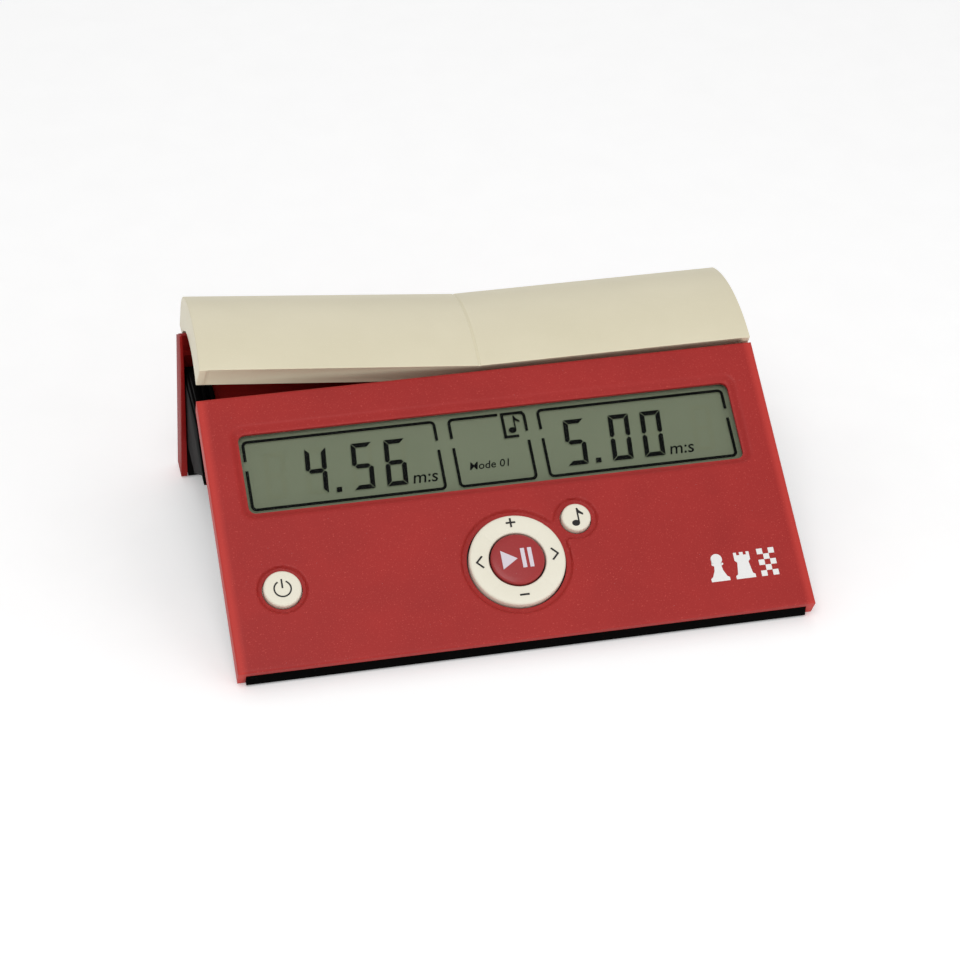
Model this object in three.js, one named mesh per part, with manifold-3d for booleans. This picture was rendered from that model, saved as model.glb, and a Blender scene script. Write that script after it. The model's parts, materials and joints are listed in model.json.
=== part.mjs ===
// Chess clock: a tilted red front with a display and keys, a leaning rear leg, and one long rocker
// lever across the top. Millimetres, +Z up, the front towards -Y. The origin is on the table plane,
// at the middle of the footprint.
import * as THREE from 'three';
import { mergeVertices } from 'three/addons/utils/BufferGeometryUtils.js';
import Module from 'manifold-3d';

const wasm = await Module();
wasm.setup();

// ---------- driving dimensions ----------
const faceWidth = 150;            // front cover, left to right
const faceSlope = 76.9;           // front cover, bottom edge to top edge along the slope
const faceTilt = 33 * Math.PI / 180;
const faceLift = 5.4;             // table to the face's lower edge
const overallDepth = 112;         // front edge to the rear foot
const rearLean = 12.7 * Math.PI / 180;
const rearHalfTop = faceWidth / 2 + 0.65;          // rear cover half widths, with its side draft
const rearHalfFoot = faceWidth / 2 + 1.75;
const coverDepth = 6.1;           // front cover side walls, square to the face
const coverWall = 1.8, plateThickness = 2.0;
const trayDepth = 16;             // face to the underside of the front tray
const frameWall = 2.0;
const footPad = 0.6;              // rubber pad height under both feet
const deckTop = 38, deckThickness = 1.9;
const legThickness = 8.4;         // rear leg, front face to rear face, level with the table

const leverHalf = faceWidth / 2 - 0.4;             // lever arm, crease to end
const leverAngle = 5.76 * Math.PI / 180;           // angle between the two arms
const leverPivotZ = 44, crownY = 85.5, crownZ = 54.15, crownRadius = 44;
const leverWall = 2.0, leverSkirt = 8.2, leverRearY = 103.4, leverRearRound = 6, leverGap = 0.6;
const pinRadius = 1.5;

const seat = 0.3;                 // gap between pieces stacked in the tilted front
const rest = 0.05;                // gap between pieces that rest on each other elsewhere
const fit = 0.05;                 // radial running fit

const opening = { halfWidth: faceWidth / 2 - 9.2, low: 43.5, high: 66.1, bevel: 2.0, sink: 1.2, round: 1.6 };
const lensThickness = 0.8, cellThickness = 1.8, boardThickness = 1.6;
const nav = { u: 0, v: 21.4, outer: 12.5, inner: 7.4, top: 1.2 };
const play = { radius: 7.0, top: 1.7, travel: 0.9 };
const sound = { u: 17.45, v: 31.4, radius: 3.83, top: 0.9, travel: 0.8 };
const power = { u: 14.3 - faceWidth / 2, v: 21.3, radius: 4.85, top: 0.9, travel: 0.8 };
const dishDepth = 0.8, keyGap = 0.3, navGap = 0.4;
const battery = { radius: 7.1, length: 49.2, nub: 1.3, x: 3.6, y: 95.2, z: 23.6 };
const door = { from: -3.5, to: 60, low: 14.8, high: 35.4, thickness: 1.35, travel: 5.5 };
const plungerX = 18, plungerRadius = 1.6;

// ---------- finishes ----------
const finish = (color, roughness, metalness = 0) => () =>
  new THREE.MeshStandardMaterial({ color, roughness, metalness });
const redPlastic = finish(0xa83836, 0.5);
const blackPlastic = finish(0x141414, 0.55);
const ivoryPlastic = finish(0xe0dbc4, 0.42);
const clearPlastic = finish(0xdfe6e6, 0.08);
const displayGlass = finish(0x747c66, 0.2);
const silver = finish(0xb8b8b4, 0.35, 0.9);
const steel = finish(0xa4a6a8, 0.3, 0.95);
const boardGreen = finish(0x1f5a34, 0.5);
const greyRubber = finish(0x6f7274, 0.85);
const blackRubber = finish(0x1a1a1a, 0.9);
const cellJacket = finish(0x2c4f7a, 0.35);
const brass = finish(0xb08d4a, 0.4, 0.9);
const wireRed = finish(0xb3221f, 0.5), wireBlack = finish(0x202020, 0.5);

// ---------- solids ----------
function solid(geometry) {
  const bare = geometry.index ? geometry.toNonIndexed() : geometry.clone();
  bare.deleteAttribute('normal');
  bare.deleteAttribute('uv');
  const merged = mergeVertices(bare, 1e-4);
  return new wasm.Manifold(new wasm.Mesh({
    numProp: 3,
    vertProperties: new Float32Array(merged.attributes.position.array),
    triVerts: new Uint32Array(merged.index.array),
  }));
}
const join = (...pieces) => pieces.reduce((whole, piece) => whole.add(piece));
const cut = (whole, ...tools) => tools.reduce((left, tool) => left.subtract(tool), whole);

function mesh(name, shape, material, parent) {
  let geometry = shape;
  if (!shape.isBufferGeometry) {
    const { vertProperties, triVerts } = shape.getMesh();
    geometry = new THREE.BufferGeometry();
    geometry.setAttribute('position', new THREE.BufferAttribute(new Float32Array(vertProperties), 3));
    geometry.setIndex(new THREE.BufferAttribute(new Uint32Array(triVerts), 1));
    geometry.computeVertexNormals();
  }
  const node = new THREE.Mesh(geometry, material());
  node.name = name;
  parent.add(node);
  return node;
}

// ---------- shapes ----------
const box = (x0, x1, y0, y1, z0, z1) => solid(
  new THREE.BoxGeometry(x1 - x0, y1 - y0, z1 - z0).translate((x0 + x1) / 2, (y0 + y1) / 2, (z0 + z1) / 2));

// A flat outline given its thickness from low to high along Z.
const slab = (shape, low, high, curveSegments = 8) =>
  new THREE.ExtrudeGeometry(shape, { depth: high - low, bevelEnabled: false, curveSegments })
    .translate(0, 0, low);

function roundedRect(x0, x1, y0, y1, r) {
  const s = new THREE.Shape();
  s.moveTo(x0 + r, y0).lineTo(x1 - r, y0).absarc(x1 - r, y0 + r, r, -Math.PI / 2, 0);
  s.lineTo(x1, y1 - r).absarc(x1 - r, y1 - r, r, 0, Math.PI / 2);
  s.lineTo(x0 + r, y1).absarc(x0 + r, y1 - r, r, Math.PI / 2, Math.PI);
  s.lineTo(x0, y0 + r).absarc(x0 + r, y0 + r, r, Math.PI, Math.PI * 1.5);
  return s;
}
const plate = (x0, x1, y0, y1, r, low, high, segments = 4) =>
  solid(slab(roundedRect(x0, x1, y0, y1, r), low, high, segments));

// A round bar standing along Z.
const bar = (x, y, r, low, high, sides = 24) => solid(
  new THREE.CylinderGeometry(r, r, high - low, sides).rotateX(Math.PI / 2).translate(x, y, (low + high) / 2));
const barAlongY = (x, z, r, y0, y1, sides = 24) => solid(
  new THREE.CylinderGeometry(r, r, y1 - y0, sides).translate(x, (y0 + y1) / 2, z));

// A turned piece about Z from [radius, height] points that start and end on the axis.
const turned = (points, sides = 32) => solid(
  new THREE.LatheGeometry(points.map(([r, h]) => new THREE.Vector2(r, h)), sides).rotateX(Math.PI / 2));

// A side outline of [y, z] points extruded along X.
const alongX = (points, x0, x1) => {
  const shape = new THREE.Shape(points.map(([y, z]) => new THREE.Vector2(y, z)));
  const cyclic = new THREE.Matrix4().set(0, 0, 1, 0, 1, 0, 0, 0, 0, 1, 0, 0, 0, 0, 0, 1);
  return solid(slab(shape, x0, x1).applyMatrix4(cyclic));
};

// A [v, h] place on the face (up the slope, out of the face) as [y, z] beside the clock.
const onFace = (v, h) => [
  v * Math.cos(faceTilt) - h * Math.sin(faceTilt),
  faceLift + v * Math.sin(faceTilt) + h * Math.cos(faceTilt)];
// The slope distance at which a line of depth h under the face meets the height z.
const faceReach = (h, z) => (z - faceLift - h * Math.cos(faceTilt)) / Math.sin(faceTilt);
const rearY = (z) => overallDepth - (z - footPad) * Math.tan(rearLean);

const cable = (points, radius, sides = 8, steps = 30) => {
  const curve = new THREE.CatmullRomCurve3(points.map((p) => new THREE.Vector3(...p)));
  const ring = new THREE.Shape(Array.from({ length: sides }, (_, i) => new THREE.Vector2(
    radius * Math.cos(2 * Math.PI * i / sides), radius * Math.sin(2 * Math.PI * i / sides))));
  return new THREE.ExtrudeGeometry(ring, { steps, bevelEnabled: false, extrudePath: curve });
};

// ---------- the object and its tilted frames ----------
const clock = new THREE.Group();
const body = new THREE.Group();          // Y counted from the front edge, Z from the table
body.position.y = -overallDepth / 2;
clock.add(body);

const face = new THREE.Group();          // X across, Y up the slope, Z out of the face
face.position.z = faceLift;
face.rotation.x = faceTilt;
body.add(face);

const back = new THREE.Group();          // X across, Y up the rear face, Z into the body
back.position.y = rearY(0);
back.rotation.x = Math.PI / 2 + rearLean;
body.add(back);
back.updateMatrix();
const inBody = (shape) => shape.transform(back.matrix.elements);

// ---------- stack of depths under the face ----------
const lensTop = -plateThickness - seat;
const cellTop = lensTop - lensThickness - seat;
const cellBottom = cellTop - cellThickness;
const boardTop = -8.1, boardBottom = boardTop - boardThickness;
const screwSeat = -11;                   // where the case screw heads bear
const coverBossEnd = -8.7, trayBossTop = coverBossEnd - seat;
const halfFace = faceWidth / 2;
const trayHalf = halfFace - coverWall - seat;
const caseScrewU = halfFace - 5.8;       // outer case screws
const caseScrews = [[-caseScrewU, 15], [caseScrewU, 15], [-caseScrewU, 35.4], [caseScrewU, 35.4], [-33, 15],
  [33, 15]];
const boardScrews = [[-48, 15.6], [-54, 35.4], [54, 35.4], [56, 15.6]];

// ---------- front cover ----------
function keyDish() {
  const around = (key, radius) => bar(key.u, key.v, radius, -dishDepth, 5, 36);
  const neck = new THREE.Shape();
  neck.moveTo(nav.u + 8, nav.v + 11).lineTo(sound.u - 3, sound.v + 4.6);
  neck.lineTo(sound.u + 3, sound.v - 4.6).lineTo(nav.u + 13, nav.v + 3);
  return [around(nav, nav.outer + 1.5), around(sound, sound.radius + 1.5),
    around(power, power.radius + 1.5), solid(slab(neck, -dishDepth, 5))];
}

function windowBevel() {
  const { halfWidth, low, high, round, bevel, sink } = opening;
  const rim = 0.4;                       // how far the tool stands over the face
  const outline = roundedRect(-halfWidth, halfWidth, low, high, round).getPoints(4);
  const spread = (p) => {
    const out = bevel * (1 + rim / sink);
    return [p.x + Math.sign(p.x) * out, p.y + Math.sign(p.y - (low + high) / 2) * out];
  };
  return solid(loft([
    outline.map((p) => new THREE.Vector3(p.x, p.y, -sink)),
    outline.map((p) => new THREE.Vector3(...spread(p), rim)),
  ]));
}

function frontCover() {
  const outer = plate(-halfFace, halfFace, 0, faceSlope, 0.8, -coverDepth, 0);
  const hollow = box(-halfFace + coverWall, halfFace - coverWall, -1, faceSlope - coverWall,
    -coverDepth - 1, -plateThickness);
  const [postIn, postOut] = [trayHalf + seat, halfFace];
  const cornerPost = (side) => box(side > 0 ? postIn : -postOut, side > 0 ? postOut : -postIn,
    0, 2, -coverDepth, -plateThickness);
  const holes = [
    plate(-opening.halfWidth, opening.halfWidth, opening.low, opening.high, opening.round, -9, 1),
    windowBevel(),
    ...keyDish(),
    bar(nav.u, nav.v, nav.outer + navGap, -9, 1, 44),
    bar(sound.u, sound.v, sound.radius + keyGap, -9, 1, 28),
    bar(power.u, power.v, power.radius + keyGap, -9, 1, 28)];
  const bosses = [
    ...caseScrews.map(([u, v]) => bar(u, v, 2.7, coverBossEnd, -plateThickness + 0.2, 12)),
    ...boardScrews.map(([u, v]) => bar(u, v, 2.2, boardTop + seat, -plateThickness + 0.2, 12))];
  const pilots = [
    ...caseScrews.map(([u, v]) => bar(u, v, 1.05 + fit, coverBossEnd - 1, -3.2, 12)),
    ...boardScrews.map(([u, v]) => bar(u, v, 0.95 + fit, boardTop - 1, -3.2, 12))];
  const shell = join(cut(outer, hollow), cornerPost(-1), cornerPost(1));
  return cut(join(cut(shell, ...holes), ...bosses), ...pilots);
}

// Rings of points joined into one closed skin, the first and last rings capped.
function loft(rings) {
  const count = rings[0].length;
  const flat = rings.flat();
  const index = [];
  for (let r = 0; r + 1 < rings.length; r++) {
    for (let i = 0; i < count; i++) {
      const a = r * count + i, b = r * count + (i + 1) % count;
      index.push(a, b, b + count, a, b + count, a + count);
    }
  }
  const outline = rings[0].map((p) => new THREE.Vector2(p.capX ?? p.x, p.capY ?? p.y));
  const cap = THREE.ShapeUtils.triangulateShape(outline, []);
  const last = (rings.length - 1) * count;
  for (const [a, b, c] of cap) {
    index.push(a, c, b);
    index.push(a + last, b + last, c + last);
  }
  const geometry = new THREE.BufferGeometry().setFromPoints(flat);
  geometry.setIndex(index);
  return geometry;
}

mesh('front_cover', frontCover(), redPlastic, face);

// ---------- display ----------
const lensLap = 1.5;                     // window lens beyond the opening, all round
mesh('window_lens', plate(-opening.halfWidth - lensLap, opening.halfWidth + lensLap, opening.low - lensLap,
  opening.high + lensLap, 1, lensTop - lensThickness, lensTop, 3), clearPlastic, face);

const cell = {
  half: opening.halfWidth + 2.7, low: opening.low - 2.5, high: opening.high + 2.5, ledge: 2.3 };
const cellMiddle = (cellTop + cellBottom) / 2;
mesh('lcd_cell', join(
  box(-cell.half, cell.half, cell.low, cell.high, cellMiddle, cellTop),
  box(-cell.half, cell.half, cell.low + cell.ledge, cell.high - cell.ledge, cellBottom, cellMiddle + 0.1)),
  displayGlass, face);
mesh('lcd_reflector', box(-cell.half + 1, cell.half - 1, cell.low + cell.ledge, cell.high - cell.ledge,
  cellBottom - seat - 0.3, cellBottom - seat), silver, face);
const holder = { half: cell.half + 2.4, low: cell.low - 2.6, high: cell.high + 2.5 };
mesh('lcd_frame', cut(
  plate(-holder.half, holder.half, holder.low, holder.high, 1, boardTop + seat, cellTop, 2),
  box(-cell.half - seat, cell.half + seat, cell.low - seat, cell.high + seat, -20, 5)),
  blackPlastic, face);
for (const [place, v] of [['lower', cell.low], ['upper', cell.high - cell.ledge + seat]]) {
  mesh(`zebra_strip_${place}`, box(-cell.half + 4.5, cell.half - 4.5, v, v + cell.ledge - seat,
    boardTop + seat, cellMiddle - seat), greyRubber, face);
}

// ---------- main board and what is soldered to it ----------
function mainBoard() {
  const holes = [
    ...boardScrews.map(([u, v]) => bar(u, v, 1.1, -20, 0, 12)),
    ...caseScrews.filter(([u]) => Math.abs(u) < 50).map(([u, v]) => bar(u, v, 4.2, -20, 0, 16))];
  return cut(plate(10 - halfFace, halfFace - 10, 11, 72, 1, boardBottom, boardTop, 2), ...holes);
}
const underBoard = boardBottom - seat;
mesh('main_board', mainBoard(), boardGreen, face);
mesh('controller_chip', plate(-17, -3, 47, 61, 1, underBoard - 1.2, underBoard, 2), blackPlastic, face);
mesh('crystal_can', plate(3, 6, 49, 57, 1.4, underBoard - 1.9, underBoard, 4), silver, face);
mesh('piezo_buzzer', bar(44, 22, 8.2, underBoard - 2.0, underBoard, 32), brass, face);
boardScrews.forEach(([u, v], i) => mesh(`board_screw_${i + 1}`, join(
  bar(u, v, 1.9, underBoard - 1.3, underBoard, 12),
  bar(u, v, 0.9, underBoard - 0.1, -4.5, 12)), steel, face));
caseScrews.forEach(([u, v], i) => mesh(`case_screw_${i + 1}`, join(
  bar(u, v, 2.2, screwSeat - seat - 1.3, screwSeat - seat, 12),
  bar(u, v, 1.0, screwSeat - seat - 0.1, -4, 12)), steel, face));

// ---------- keys ----------
const matBase = boardTop + seat, matTop = matBase + 0.8, padTop = -5.4, keyFoot = -4.2;
function keypadMat() {
  const web = new THREE.Shape();
  const left = power.u - 5.3, neck = power.u + 5.7;
  web.moveTo(left, 16.8).lineTo(neck, 16.8).lineTo(neck, 19.5).lineTo(-16, 19.5).lineTo(-16, 10.2);
  web.lineTo(25, 10.2).lineTo(25, 37.6).lineTo(-16, 37.6).lineTo(-16, 25.8).lineTo(left, 25.8);
  const pad = (u, v, r, top = padTop) => turned(
    [[0, matTop - 0.1], [r + 1.2, matTop - 0.1], [r, top], [0, top]], 20).translate([u, v, 0]);
  const r = (nav.inner + nav.outer) / 2 + 0.4;
  return join(solid(slab(web, matBase, matTop)),
    pad(nav.u, nav.v, 3.2), pad(sound.u, sound.v, 2.2), pad(power.u, power.v, 2.6),
    ...[0, 1, 2, 3].map((i) => pad(nav.u + r * Math.cos(i * Math.PI / 2),
      nav.v + r * Math.sin(i * Math.PI / 2), 1.4)));
}
mesh('keypad_mat', keypadMat(), greyRubber, face);

// A round key: crowned top, an edge round, a flange that keeps it under the plate, and a stem.
function roundKey(key, flange) {
  const r = key.radius, top = key.top;
  return turned([[0, keyFoot], [r * 0.55, keyFoot], [r * 0.55, -3.1], [r + flange, -3.1],
    [r + flange, -2.4], [r, -2.4], [r, top - 0.5], [r - 0.5, top], [0, top]], 28).translate([key.u, key.v, 0]);
}
mesh('power_button', roundKey(power, 1.0), ivoryPlastic, face);
mesh('sound_button', roundKey(sound, 0.8), ivoryPlastic, face);
mesh('play_button', turned([[0, keyFoot], [5.6, keyFoot], [5.6, -2.4], [play.radius, -1.6],
  [play.radius, play.top - 0.8], [play.radius - 0.9, play.top - 0.1], [play.radius * 0.5, play.top],
  [0, play.top]], 32).translate([nav.u, nav.v, 0]), redPlastic, face);

function ring(points, sides) {
  const closed = [...points, points[0]];
  return solid(new THREE.LatheGeometry(closed.map(([r, h]) => new THREE.Vector2(r, h)), sides)
    .rotateX(Math.PI / 2)).translate([nav.u, nav.v, 0]);
}
mesh('nav_ring', ring([[nav.inner, -2.9], [nav.outer, -2.9], [nav.outer, nav.top - 0.8],
  [nav.outer - 0.7, nav.top], [nav.inner + 0.4, nav.top], [nav.inner, nav.top - 0.4]], 44), ivoryPlastic, face);
mesh('nav_carrier', join(ring([[8.0, -4.2], [11.6, -4.2], [11.6, -3.4], [8.0, -3.4]], 28),
  ...[-1, 1].map((side) => box(side > 0 ? 11.4 : -13.4, side > 0 ? 13.4 : -11.4, -0.6, 0.6, -4.2, -3.4)
    .translate([nav.u, nav.v, 0]))), blackPlastic, face);

// ---------- black base frame: front tray, roof of the open space, rear leg ----------
const groundClear = 1.4;
const legFront = (z) => rearY(z) - legThickness;
const coverRearWall = 2.2;
const frameRear = (z) => rearY(z) - coverRearWall - seat;
const frameHalfRear = halfFace - 0.2, bayFloor = 15.2, bayHalf = frameHalfRear - frameWall;
const deckUnder = deckTop - deckThickness;

function baseFrame() {
  const top = deckUnder - rest * 3;
  const front = [[1.65, footPad], [8, footPad], [9, groundClear],
    onFace(faceReach(-trayDepth, groundClear), -trayDepth), onFace(60, -trayDepth),
    onFace(73, -trayDepth), onFace(75, -8), onFace(faceSlope - coverWall - seat, -plateThickness - seat),
    onFace(0.4, -plateThickness - seat)];
  const ceiling = bayFloor - frameWall;
  const rear = [onFace(60, -trayDepth), [64, onFace(60, -trayDepth)[1]], [84, ceiling],
    [legFront(ceiling), ceiling], [legFront(footPad), footPad], [frameRear(footPad), footPad],
    [frameRear(top), top], [69, top], onFace(73, -trayDepth + 3)];
  const roomFloor = 2.6, roomFront = 2.2;
  const roomDepth = (roomFloor - faceLift - roomFront * Math.sin(faceTilt)) / Math.cos(faceTilt);
  const trayRoom = [onFace(roomFront, 5), onFace(roomFront, roomDepth),
    onFace(faceReach(-trayDepth + frameWall, roomFloor), -trayDepth + frameWall),
    onFace(73.1, -trayDepth + frameWall), onFace(73.1, 5)];
  const bay = [onFace(76, -trayDepth - 0.6), [onFace(76, -trayDepth)[0], 60], [120, 60], [120, 2.6],
    [legFront(2.6) + 1.8, 2.6], [legFront(bayFloor) + 1.8, bayFloor], [84.8, bayFloor],
    [65.0, 26.4], onFace(67, -trayDepth - 0.6)].reverse();
  const shell = join(alongX(front, -trayHalf, trayHalf), alongX(rear, -frameHalfRear, frameHalfRear));
  const sideBlock = (side) => {
    const at = (a, b) => (side > 0 ? [a, b] : [-b, -a]);
    const inner = halfFace - 6.5;
    const ribs = [0.4, 2.4, 4.4].map((step) =>
      box(...at(inner + step, inner + step + 0.9), 73.5, 92, top - 1, 40.4));
    return join(box(...at(inner, frameHalfRear - 0.4), 72, 98, 33, 38.6), ...ribs);
  };
  const rib = (x) => box(x, x + 1.6, 86, 102, bayFloor - 0.2, 31);
  const bosses = [
    ...caseScrews.map(([u, v]) => faceTool(bar(u, v, 3.8, v < 20 ? -13.4 : -14.4, trayBossTop, 16))),
    ...rearScrews.map(([x, up]) => inBody(bar(x, up, 2.6, coverRearWall + seat, 9.5, 14)))];
  const hollowed = join(cut(shell, alongX(trayRoom, -trayHalf + 1.8, trayHalf - 1.8),
    alongX(bay, -bayHalf, bayHalf)), ...bosses, sideBlock(-1), sideBlock(1), rib(-3.6), rib(56));
  const wireSlot = (u0, u1, upper) => faceTool(box(u0, u1, 67, upper, -19, -12));
  const table = box(-faceWidth, faceWidth, 9.2, 100, -5, groundClear);
  return cut(hollowed, table, wireSlot(38, 60, 72.6), wireSlot(-28.5, -17.5, 75),
    ...caseScrews.map(([u, v]) => faceTool(bar(u, v, 2.7 + seat, trayBossTop, 5, 16))),
    ...caseScrews.flatMap(([u, v]) => [
      faceTool(bar(u, v, 2.5, -30, screwSeat, 16)), faceTool(bar(u, v, 1.3, -30, 0, 12))]),
    ...rearScrews.map(([x, up]) => inBody(bar(x, up, 1.15 + fit, 0, 9, 12))));
}
face.updateMatrix();
function faceTool(shape) {
  return shape.transform(face.matrix.elements);
}
const rearScrewX = halfFace - 4;
const rearScrews = [[-rearScrewX, 9], [rearScrewX, 9], [-rearScrewX, 31], [rearScrewX, 31]];
mesh('base_frame', baseFrame(), blackPlastic, body);

const padBed = (name, x0, x1, y0, y1) => mesh(name, plate(x0, x1, y0, y1, 0.7, 0, footPad - rest, 3),
  blackRubber, body);
const frontPad = { out: halfFace - 7, long: 26, y: 2.6, wide: 4.6 };
const rearPad = { out: halfFace - 5, long: 20, y: legFront(0) + 1, wide: 4 };
for (const [end, pad] of [['front', frontPad], ['rear', rearPad]]) {
  padBed(`${end}_foot_left`, -pad.out, pad.long - pad.out, pad.y, pad.y + pad.wide);
  padBed(`${end}_foot_right`, pad.out - pad.long, pad.out, pad.y, pad.y + pad.wide);
}

// ---------- red rear cover with its deck, and the battery door ----------
const rearTopZ = 40.6, cheekTop = 51.2, cheekStep = 42.5, cheekFront = 92.6;
// The low wall behind the lever.
const fenceGap = 0.4, fenceFoot = 35.6, fenceTop = 45.1, fenceHalf = halfFace - 0.1;
function rearCover() {
  const height = cheekTop + 4;
  const half = (z) => rearHalfFoot - (rearHalfFoot - rearHalfTop) * z / 50;
  const outline = new THREE.Shape([[-half(0), 0], [half(0), 0], [half(height), height], [-half(height), height]]
    .map(([x, z]) => new THREE.Vector2(x, z)));
  const prism = solid(slab(outline, -120, -60).rotateX(Math.PI / 2));
  const profile = alongX([[cheekFront, cheekStep], [legFront(footPad), footPad], [rearY(footPad), footPad],
    [rearY(47), 47], [cheekFront, cheekTop]], -faceWidth, faceWidth);
  const inside = alongX([[70, -2], [rearY(-2) - coverRearWall, -2], [rearY(60) - coverRearWall, 60], [70, 60]],
    -frameHalfRear - 0.2, frameHalfRear + 0.2);
  const above = box(-frameHalfRear - 0.2, frameHalfRear + 0.2, 60, 120, rearTopZ, 70);
  const deckHalf = halfFace - 6.8;
  const deck = box(-deckHalf, deckHalf, 73.2, rearY(deckTop) - 1.2, deckUnder, deckTop);
  const fenceFront = leverRearY + fenceGap, fenceRear = fenceFront + 1.5;
  const fence = alongX([[fenceFront - 1.3, 36], [rearY(fenceFoot), fenceFoot], [fenceRear, 38],
    [fenceRear, fenceTop], [fenceFront, fenceTop], [fenceFront, rearTopZ], [fenceFront - 1.3, rearTopZ]], -fenceHalf, fenceHalf);
  const pocketEnd = door.to + door.travel + 0.4;
  const pocket = inBody(plate(door.from - 0.2, pocketEnd, door.low - 0.2, door.high + 0.2, 0.8, -1,
    door.thickness + 0.15));
  const hatch = inBody(box(-1.4, 55.6, 16.9, 33.3, -1, 6));
  const screwHoles = rearScrews.flatMap(([x, up]) => [
    inBody(bar(x, up, 2.5, -1, 1.2, 16)), inBody(bar(x, up, 1.3, -1, 6, 12))]);
  const plungerHoles = [-1, 1].map((side) => bar(side * plungerX, crownY + 1, plungerRadius + 0.3, 30, 45, 24));
  const bracketHoles = bracketScrews.map((x) => bar(x, crownY + 1, 0.9 + fit, 30, 45, 12));
  return cut(join(cut(prism.intersect(profile), inside, above), deck, fence), pocket, hatch,
    ...screwHoles, ...plungerHoles, ...bracketHoles);
}
const bracketScrews = [-6, 6];               // beside the lever, level with the plungers
mesh('rear_cover', rearCover(), redPlastic, body);

function batteryDoor() {
  const panel = plate(door.from, door.to, door.low, door.high, 0.7, 0.05, 0.05 + door.thickness - seat);
  const grips = [0, 1, 2, 3, 4].map((i) => box(48 + i * 2, 49 + i * 2, 20, 30, -0.3, 0.2));
  return cut(panel, ...grips);
}
mesh('battery_door', batteryDoor(), redPlastic, back);
rearScrews.forEach(([x, up], i) => mesh(`rear_screw_${i + 1}`, join(
  bar(x, up, 2.2, 0.1, 0.9, 12), bar(x, up, 1.1, 0.8, 8.4, 12)), steel, back));

// ---------- battery and its contacts ----------
const alongBattery = (shape) => {
  const turn = new THREE.Matrix4().makeRotationY(Math.PI / 2).setPosition(battery.x, battery.y, battery.z);
  return shape.transform(turn.elements);
};
mesh('battery_cell', alongBattery(turned([[0, 0], [battery.radius - 0.4, 0], [battery.radius, 0.4],
  [battery.radius, battery.length - 0.5], [battery.radius - 0.5, battery.length], [2.7, battery.length],
  [2.7, battery.length + battery.nub], [0, battery.length + battery.nub]], 32)), cellJacket, body);
function contactSpring() {
  const turns = 3, from = -1.6, length = battery.x - 0.5 - from;
  const points = Array.from({ length: turns * 12 + 1 }, (_, i) => {
    const t = i / (turns * 12), angle = 2 * Math.PI * turns * t, r = 4.6 - 2.2 * t;
    return [from + length * t, battery.y + r * Math.cos(angle), battery.z + r * Math.sin(angle)];
  });
  return cable(points, 0.35, 6, turns * 12);
}
mesh('battery_spring', contactSpring(), steel, body);
const contactX = battery.x + battery.length + battery.nub + seat;
mesh('battery_contact', box(contactX, contactX + 0.5, battery.y - 5, battery.y + 5, bayFloor + 1, 31.4),
  brass, body);

const wirePad = (u, v) => {
  const [y, z] = onFace(v, underBoard - 0.8);
  return [u, y, z];
};
const throughSlot = (u) => [
  [u, ...onFace(70, -19.5)], [u, ...onFace(70, -15.3)], [u - 1, ...onFace(68.6, -12.8)], [u - 4, ...onFace(64, -11.8)], wirePad(u - 6, 60)];
mesh('battery_wire_red', cable([[contactX + 1.4, battery.y - 3, 31.6], [contactX + 1, 86, 32.4],
  [contactX, 78, 30.6], ...throughSlot(54)], 0.6, 8, 28), wireRed, body);
mesh('battery_wire_black', cable([[-4.5, battery.y, 26], [-5.2, 89.5, 29.0], [-4.4, 84, 29.8], [6, 79, 29.6],
  [26, 75, 29.4], ...throughSlot(45)], 0.6, 8, 40), wireBlack, body);

// ---------- switches under the lever ----------
const switchBoardTop = 32.7;
mesh('switch_board', box(-27, 27, 80, 93, switchBoardTop - 1.4, switchBoardTop), boardGreen, body);
const sideName = { '-1': 'left', 1: 'right' };
const armDrop = plungerX * Math.sin(leverAngle);
for (const side of [-1, 1]) {
  const x = side * plungerX, y = crownY + 1;
  mesh(`lever_switch_${sideName[side]}`, cut(
    box(x - 3.2, x + 3.2, y - 3.2, y + 3.2, switchBoardTop + rest, 35.8),
    bar(x, y, plungerRadius + fit, 33.3, 40, 24)), blackPlastic, body);
  const raised = side < 0 ? armDrop : 0;
  mesh(`switch_plunger_${sideName[side]}`, bar(x, y, plungerRadius, 33.5 + raised, 42.9 + raised, 24),
    ivoryPlastic, body);
}

// A flat flexible strip of one thickness, following [y, z] points, extruded along X.
function ribbon(points, thickness, x0, x1) {
  const path = new THREE.SplineCurve(points.map(([y, z]) => new THREE.Vector2(y, z)));
  const steps = 14, upper = [], lower = [];
  for (let i = 0; i <= steps; i++) {
    const p = path.getPoint(i / steps), t = path.getTangent(i / steps);
    upper.push([p.x - t.y * thickness / 2, p.y + t.x * thickness / 2]);
    lower.unshift([p.x + t.y * thickness / 2, p.y - t.x * thickness / 2]);
  }
  return alongX([...lower.reverse(), ...upper.reverse()], x0, x1);
}
mesh('switch_ribbon', ribbon([[79.4, 32], [76, 32], onFace(70.3, -trayDepth + 0.6), onFace(66, -12.6),
  onFace(60, underBoard - 0.6)], 0.5, -27, -19), greyRubber, body);

// ---------- lever, pivot pin and bracket ----------
const crownCentre = [crownY, crownZ - crownRadius];
const arcPoints = ([y, z], r, from, to, count) => Array.from({ length: count + 1 }, (_, i) => {
  const a = from + (to - from) * i / count;
  return [y + r * Math.cos(a), z + r * Math.sin(a)];
});
const angleAt = ([y, z]) => Math.atan2(z - crownCentre[1], y - crownCentre[0]);

// Where the line square to the face at slope distance v crosses a crown of the given radius.
function lipOn(v, radius) {
  let h = 0;
  for (let i = 0; i < 40; i++) {
    const [y, z] = onFace(v, h);
    h += (radius - Math.hypot(y - crownCentre[0], z - crownCentre[1])) * 0.9;
  }
  return onFace(v, h);
}

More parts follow.
